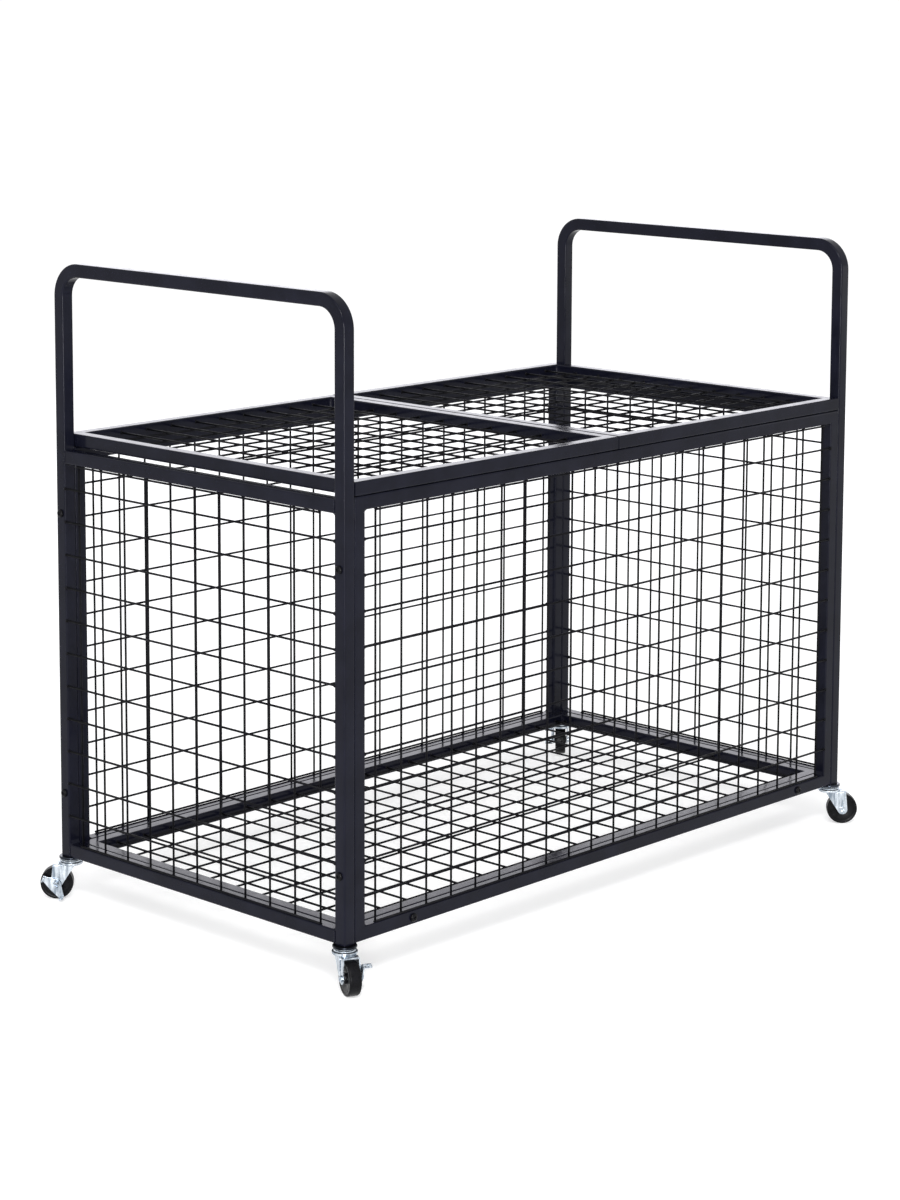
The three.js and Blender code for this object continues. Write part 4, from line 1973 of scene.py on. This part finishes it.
    def wheel(self) -> Draft:
        """Tread, round shoulders, dished sides and hub, with the mould's parting line.

        Returns:
            The draft about Z.
        """
        r, half, ease = self.wheel_radius, self.wheel_half, self.shoulder
        side = [
            (3.0, self.hub_half),
            (self.hub_radius - 0.8, self.hub_half),
            (self.hub_radius, self.hub_half - 0.8),
            (self.hub_radius + 0.4, half - 1.9),
            (self.groove_radius, half - 2.0),
            (self.groove_radius + 1.2, half - 1.2),
            (r - 6.2, half - 0.35),
            (r - 5.4, half - 0.8),
            (r - 4.9, half - 0.2),
            *arc(r - ease - 0.15, half - ease, ease, 90, 8, 7),
            (r - 0.06, half - ease - 2.4),
            (r - 0.03, 1.2),
            (r - 0.03, 0.35),
            (r, 0.2),
        ]
        return lathe([*side, *((a, -b) for a, b in reversed(side))], self.wheel_sides)

    def lever(self) -> Draft:
        """The brake's pressed plate with a tab bent outwards at each tip, and its hub.

        Returns:
            The draft about Y, with the lever's middle along X.
        """
        half = self.tip_width / 2
        tips = {}
        for sign in (1, -1):
            turn = math.radians(self.tip_deg)
            out = Vector((math.cos(turn), sign * math.sin(turn)))
            along = Vector((math.sin(turn), -sign * math.cos(turn)))
            tip = out * self.tip_radius
            tips[sign] = (tip + along * half, tip - along * half)
        upper, lower = tips[1], tips[-1]
        outline = [
            lower[1],
            lower[0],
            Vector((lower[0].x + 1, 0)),
            upper[0],
            upper[1],
            *arc(0, 0, self.lever_boss, 180 - self.tip_deg / 2, 180 + self.tip_deg / 2, 10),
        ]
        plate = prism([(p[0], p[1]) for p in outline], self.lever_inside, self.lever_outside)
        gauge = self.lever_outside - self.lever_inside
        for near, far in (upper, lower):
            inward = (near + far).normalized() * gauge
            tab = [near, far, far - inward, near - inward]
            far_y = self.lever_outside + self.tab_length
            plate.add(prism([(p.x, p.y) for p in tab], self.lever_inside, far_y))
        r, low, high = self.lever_hub, self.leg_outside + self.gap, self.lever_hub_top
        hub = lathe([(0, low), (r, low), (r, high), (0, high)], self.small_sides)
        return plate.add(hub.placed(spun(-90, "X")))

    def build(self) -> None:
        """Makes the caster's pieces, each on its own body."""
        corner, finishes = self.stand.corner, self.shop.finishes
        node = f"caster_{corner}"
        head = shaped(f"{corner}_caster_race", self.head().placed(self.corner()), finishes.zinc)
        handed_over(head, "cage", [f"{node}_stem"])
        cap = shaped(f"{corner}_caster_cap", self.cap().placed(self.corner()), finishes.cap)
        handed_over(cap, "cage", [f"{node}_stem"])
        draft = self.fork().placed(self.swivel())
        fork = shaped(f"{corner}_caster_fork", draft, finishes.zinc, self.fork_edge)
        handed_over(fork, f"{corner}_fork", [f"{node}_fork"])
        axle = shaped(f"{corner}_caster_axle", self.axle().placed(self.hub()), finishes.zinc)
        handed_over(axle, f"{corner}_fork", [f"{node}_axle"])
        draft = self.wheel().placed(self.hub())
        crease = self.wheel_crease
        wheel = shaped(f"{corner}_caster_wheel", draft, finishes.rubber, crease=crease)
        handed_over(wheel, f"{corner}_wheel", [f"{node}_wheel"])
        rest = self.swivel() @ moved(self.trail, 0, self.wheel_radius)
        turned = rest @ spun(-self.stand.lever_deg, "Y")
        draft = self.lever().placed(turned)
        brake = shaped(f"{corner}_caster_brake", draft, finishes.zinc, self.lever_edge)
        handed_over(brake, f"{corner}_brake", [f"{node}_brake"])


# Studio


@dataclass(frozen=True)
class Lamp:
    """A lamp: its kind, its place and the point that it looks at in metres, and its values."""

    name: str
    kind: str
    place: tuple[float, float, float]
    aim: tuple[float, float, float]
    values: dict[str, Any]

    def lit(self) -> None:
        """Sets the lamp up, unseen itself."""
        data = bpy.data.lights.new(self.name, self.kind)
        for key, value in self.values.items():
            setattr(data, key, value)
        lamp = bpy.data.objects.new(self.name, data)
        lamp.location = self.place
        way = Vector(self.aim) - Vector(self.place)
        lamp.rotation_euler = way.to_track_quat("-Z", "Y").to_euler()
        lamp.visible_camera = False
        bpy.context.scene.collection.objects.link(lamp)


# Two strips behind the camera light no tone, only the gloss of rounded edges
STRIP = {"shape": "RECTANGLE", "diffuse_factor": 0.0}
LAMPS = (
    # Soft sun over the camera's left shoulder
    Lamp(
        "key", "SUN", (-4.0, -2.5, 5.0), (0, 0, 0.5), {"energy": 1.0, "angle": math.radians(50)}
    ),
    # Wide softbox behind the cart, which the tops of the rails mirror
    Lamp(
        "softbox",
        "AREA",
        (3.635, 3.43, 2.1),
        (0, 0, 0.7),
        {
            "energy": 70.0,
            "shape": "RECTANGLE",
            "size": 7.0,
            "size_y": 2.2,
            "color": linear("#f4f3ff")[:3],
        },
    ),
    # Faint fill from the right
    Lamp(
        "fill",
        "AREA",
        (3.6, -2.5, 0.8),
        (0, 0, 0.5),
        {"energy": 3.5, "shape": "RECTANGLE", "size": 1.6, "size_y": 0.9},
    ),
    Lamp(
        "low_strip",
        "AREA",
        (-3.8, -3.3, 0.9),
        (0, 0, 0.9),
        {"energy": 195.0, "size": 1.0, "size_y": 1.7, **STRIP},
    ),
    Lamp(
        "high_strip",
        "AREA",
        (-3.0, -3.4, 4.2),
        (0, 0, 0.9),
        {"energy": 117.0, "size": 1.6, "size_y": 0.7, **STRIP},
    ),
)


@dataclass
class Studio:
    """Pale floor, white surround, soft lamps and the camera where the photograph was taken."""

    floor_half: float = 200
    floor_tone: Hex = "#dcdcdc"
    floor_lift: float = 0.44
    surround: float = 0.62
    lens: float = 88.3322
    sensor: float = 36
    shift: float = -0.2
    yaw_deg: float = -46.6692
    pitch_deg: float = 7.6383
    roll_deg: float = 0.2303
    stand: tuple[float, float, float] = (-3.310716, -3.082857, 1.403425)

    def whitened(self, tree: bpy.types.NodeTree) -> Any:
        """A mask that is one for camera, glossy and transmission rays.

        Args:
            tree: the shader tree.

        Returns:
            The socket with the mask.
        """
        path = add_node(tree, "ShaderNodeLightPath").outputs
        first = add_node(
            tree,
            "ShaderNodeMath",
            {"operation": "MAXIMUM"},
            {0: path["Is Camera Ray"], 1: path["Is Glossy Ray"]},
        )
        both = add_node(
            tree,
            "ShaderNodeMath",
            {"operation": "MAXIMUM"},
            {0: first.outputs[0], 1: path["Is Transmission Ray"]},
        )
        return both.outputs[0]

    def world(self) -> None:
        """White where it is seen or mirrored, and softer where it lights the cart."""
        world = bpy.data.worlds.new("surround")
        bpy.context.scene.world = world
        world.use_nodes = True
        tree = world.node_tree
        tree.nodes.clear()
        level = add_node(
            tree, "ShaderNodeMapRange", {"To Min": self.surround}, {"Value": self.whitened(tree)}
        )
        light = add_node(
            tree, "ShaderNodeBackground", {"Color": (1, 1, 1, 1)}, {"Strength": level.outputs[0]}
        )
        add_node(tree, "ShaderNodeOutputWorld", {}, {"Surface": light.outputs[0]})

    def floor(self) -> None:
        """A matt floor that reads white beside the cart's shadow."""
        mesh = bpy.data.meshes.new("studio_floor")
        h = self.floor_half
        mesh.from_pydata([(-h, -h, 0), (h, -h, 0), (h, h, 0), (-h, h, 0)], [], [(0, 1, 2, 3)])
        floor = bpy.data.objects.new("studio_floor", mesh)
        bpy.context.scene.collection.objects.link(floor)
        material = bpy.data.materials.new("matt_white_backdrop_paper")
        material.use_nodes = True
        tree = material.node_tree
        tree.nodes.clear()
        paper = add_node(tree, "ShaderNodeBsdfDiffuse", {"Color": linear(self.floor_tone)})
        lift = add_node(
            tree, "ShaderNodeMapRange", {"To Max": self.floor_lift}, {"Value": self.whitened(tree)}
        )
        glow = add_node(
            tree, "ShaderNodeEmission", {"Color": (1, 1, 1, 1)}, {"Strength": lift.outputs[0]}
        )
        both = add_node(tree, "ShaderNodeAddShader", {}, {0: paper.outputs[0], 1: glow.outputs[0]})
        add_node(tree, "ShaderNodeOutputMaterial", {}, {"Surface": both.outputs[0]})
        mesh.materials.append(material)

    def camera(self) -> None:
        """The camera where the photograph was taken from."""
        data = bpy.data.cameras.new("camera")
        data.lens = self.lens
        data.sensor_width = self.sensor
        data.shift_y = self.shift
        data.clip_start = 0.1
        data.clip_end = 1000
        camera = bpy.data.objects.new("camera", data)
        bpy.context.scene.collection.objects.link(camera)
        angles = (self.yaw_deg, self.pitch_deg, self.roll_deg)
        yaw, pitch, roll = (math.radians(degrees) for degrees in angles)
        ahead = Vector((-math.sin(yaw), math.cos(yaw), 0))
        right = Vector((math.cos(yaw), math.sin(yaw), 0))
        forward = ahead * math.cos(pitch) - Z * math.sin(pitch)
        up = Z * math.cos(pitch) + ahead * math.sin(pitch)
        leant = right * math.cos(roll) + up * math.sin(roll)
        upright = up * math.cos(roll) - right * math.sin(roll)
        camera.matrix_world = based(leant, upright, -forward, Vector(self.stand))
        bpy.context.scene.camera = camera

    def build(self) -> None:
        """Sets up the whole studio."""
        bpy.context.scene.view_settings.view_transform = "Standard"
        self.world()
        self.floor()
        for lamp in LAMPS:
            lamp.lit()
        self.camera()
        LOG.info("studio: floor, surround, lamps and camera")


def main() -> None:
    """Builds the studio and then the cart, from its frames to its casters."""
    Studio().build()
    shop = Workshop.opened()
    parts = [
        *(EndFrame(shop, side) for side in Side),
        *(panel(shop, face) for face in Face),
        cage_floor(shop),
        *(lid(shop, side) for side in Side),
        FrameBolts(shop),
        LidHinges(shop),
        *(Caster(shop, stand) for stand in STANDS),
    ]
    for part in parts:
        LOG.info("building %s", type(part).__name__)
        part.build()


if __name__ == "__main__":
    main()
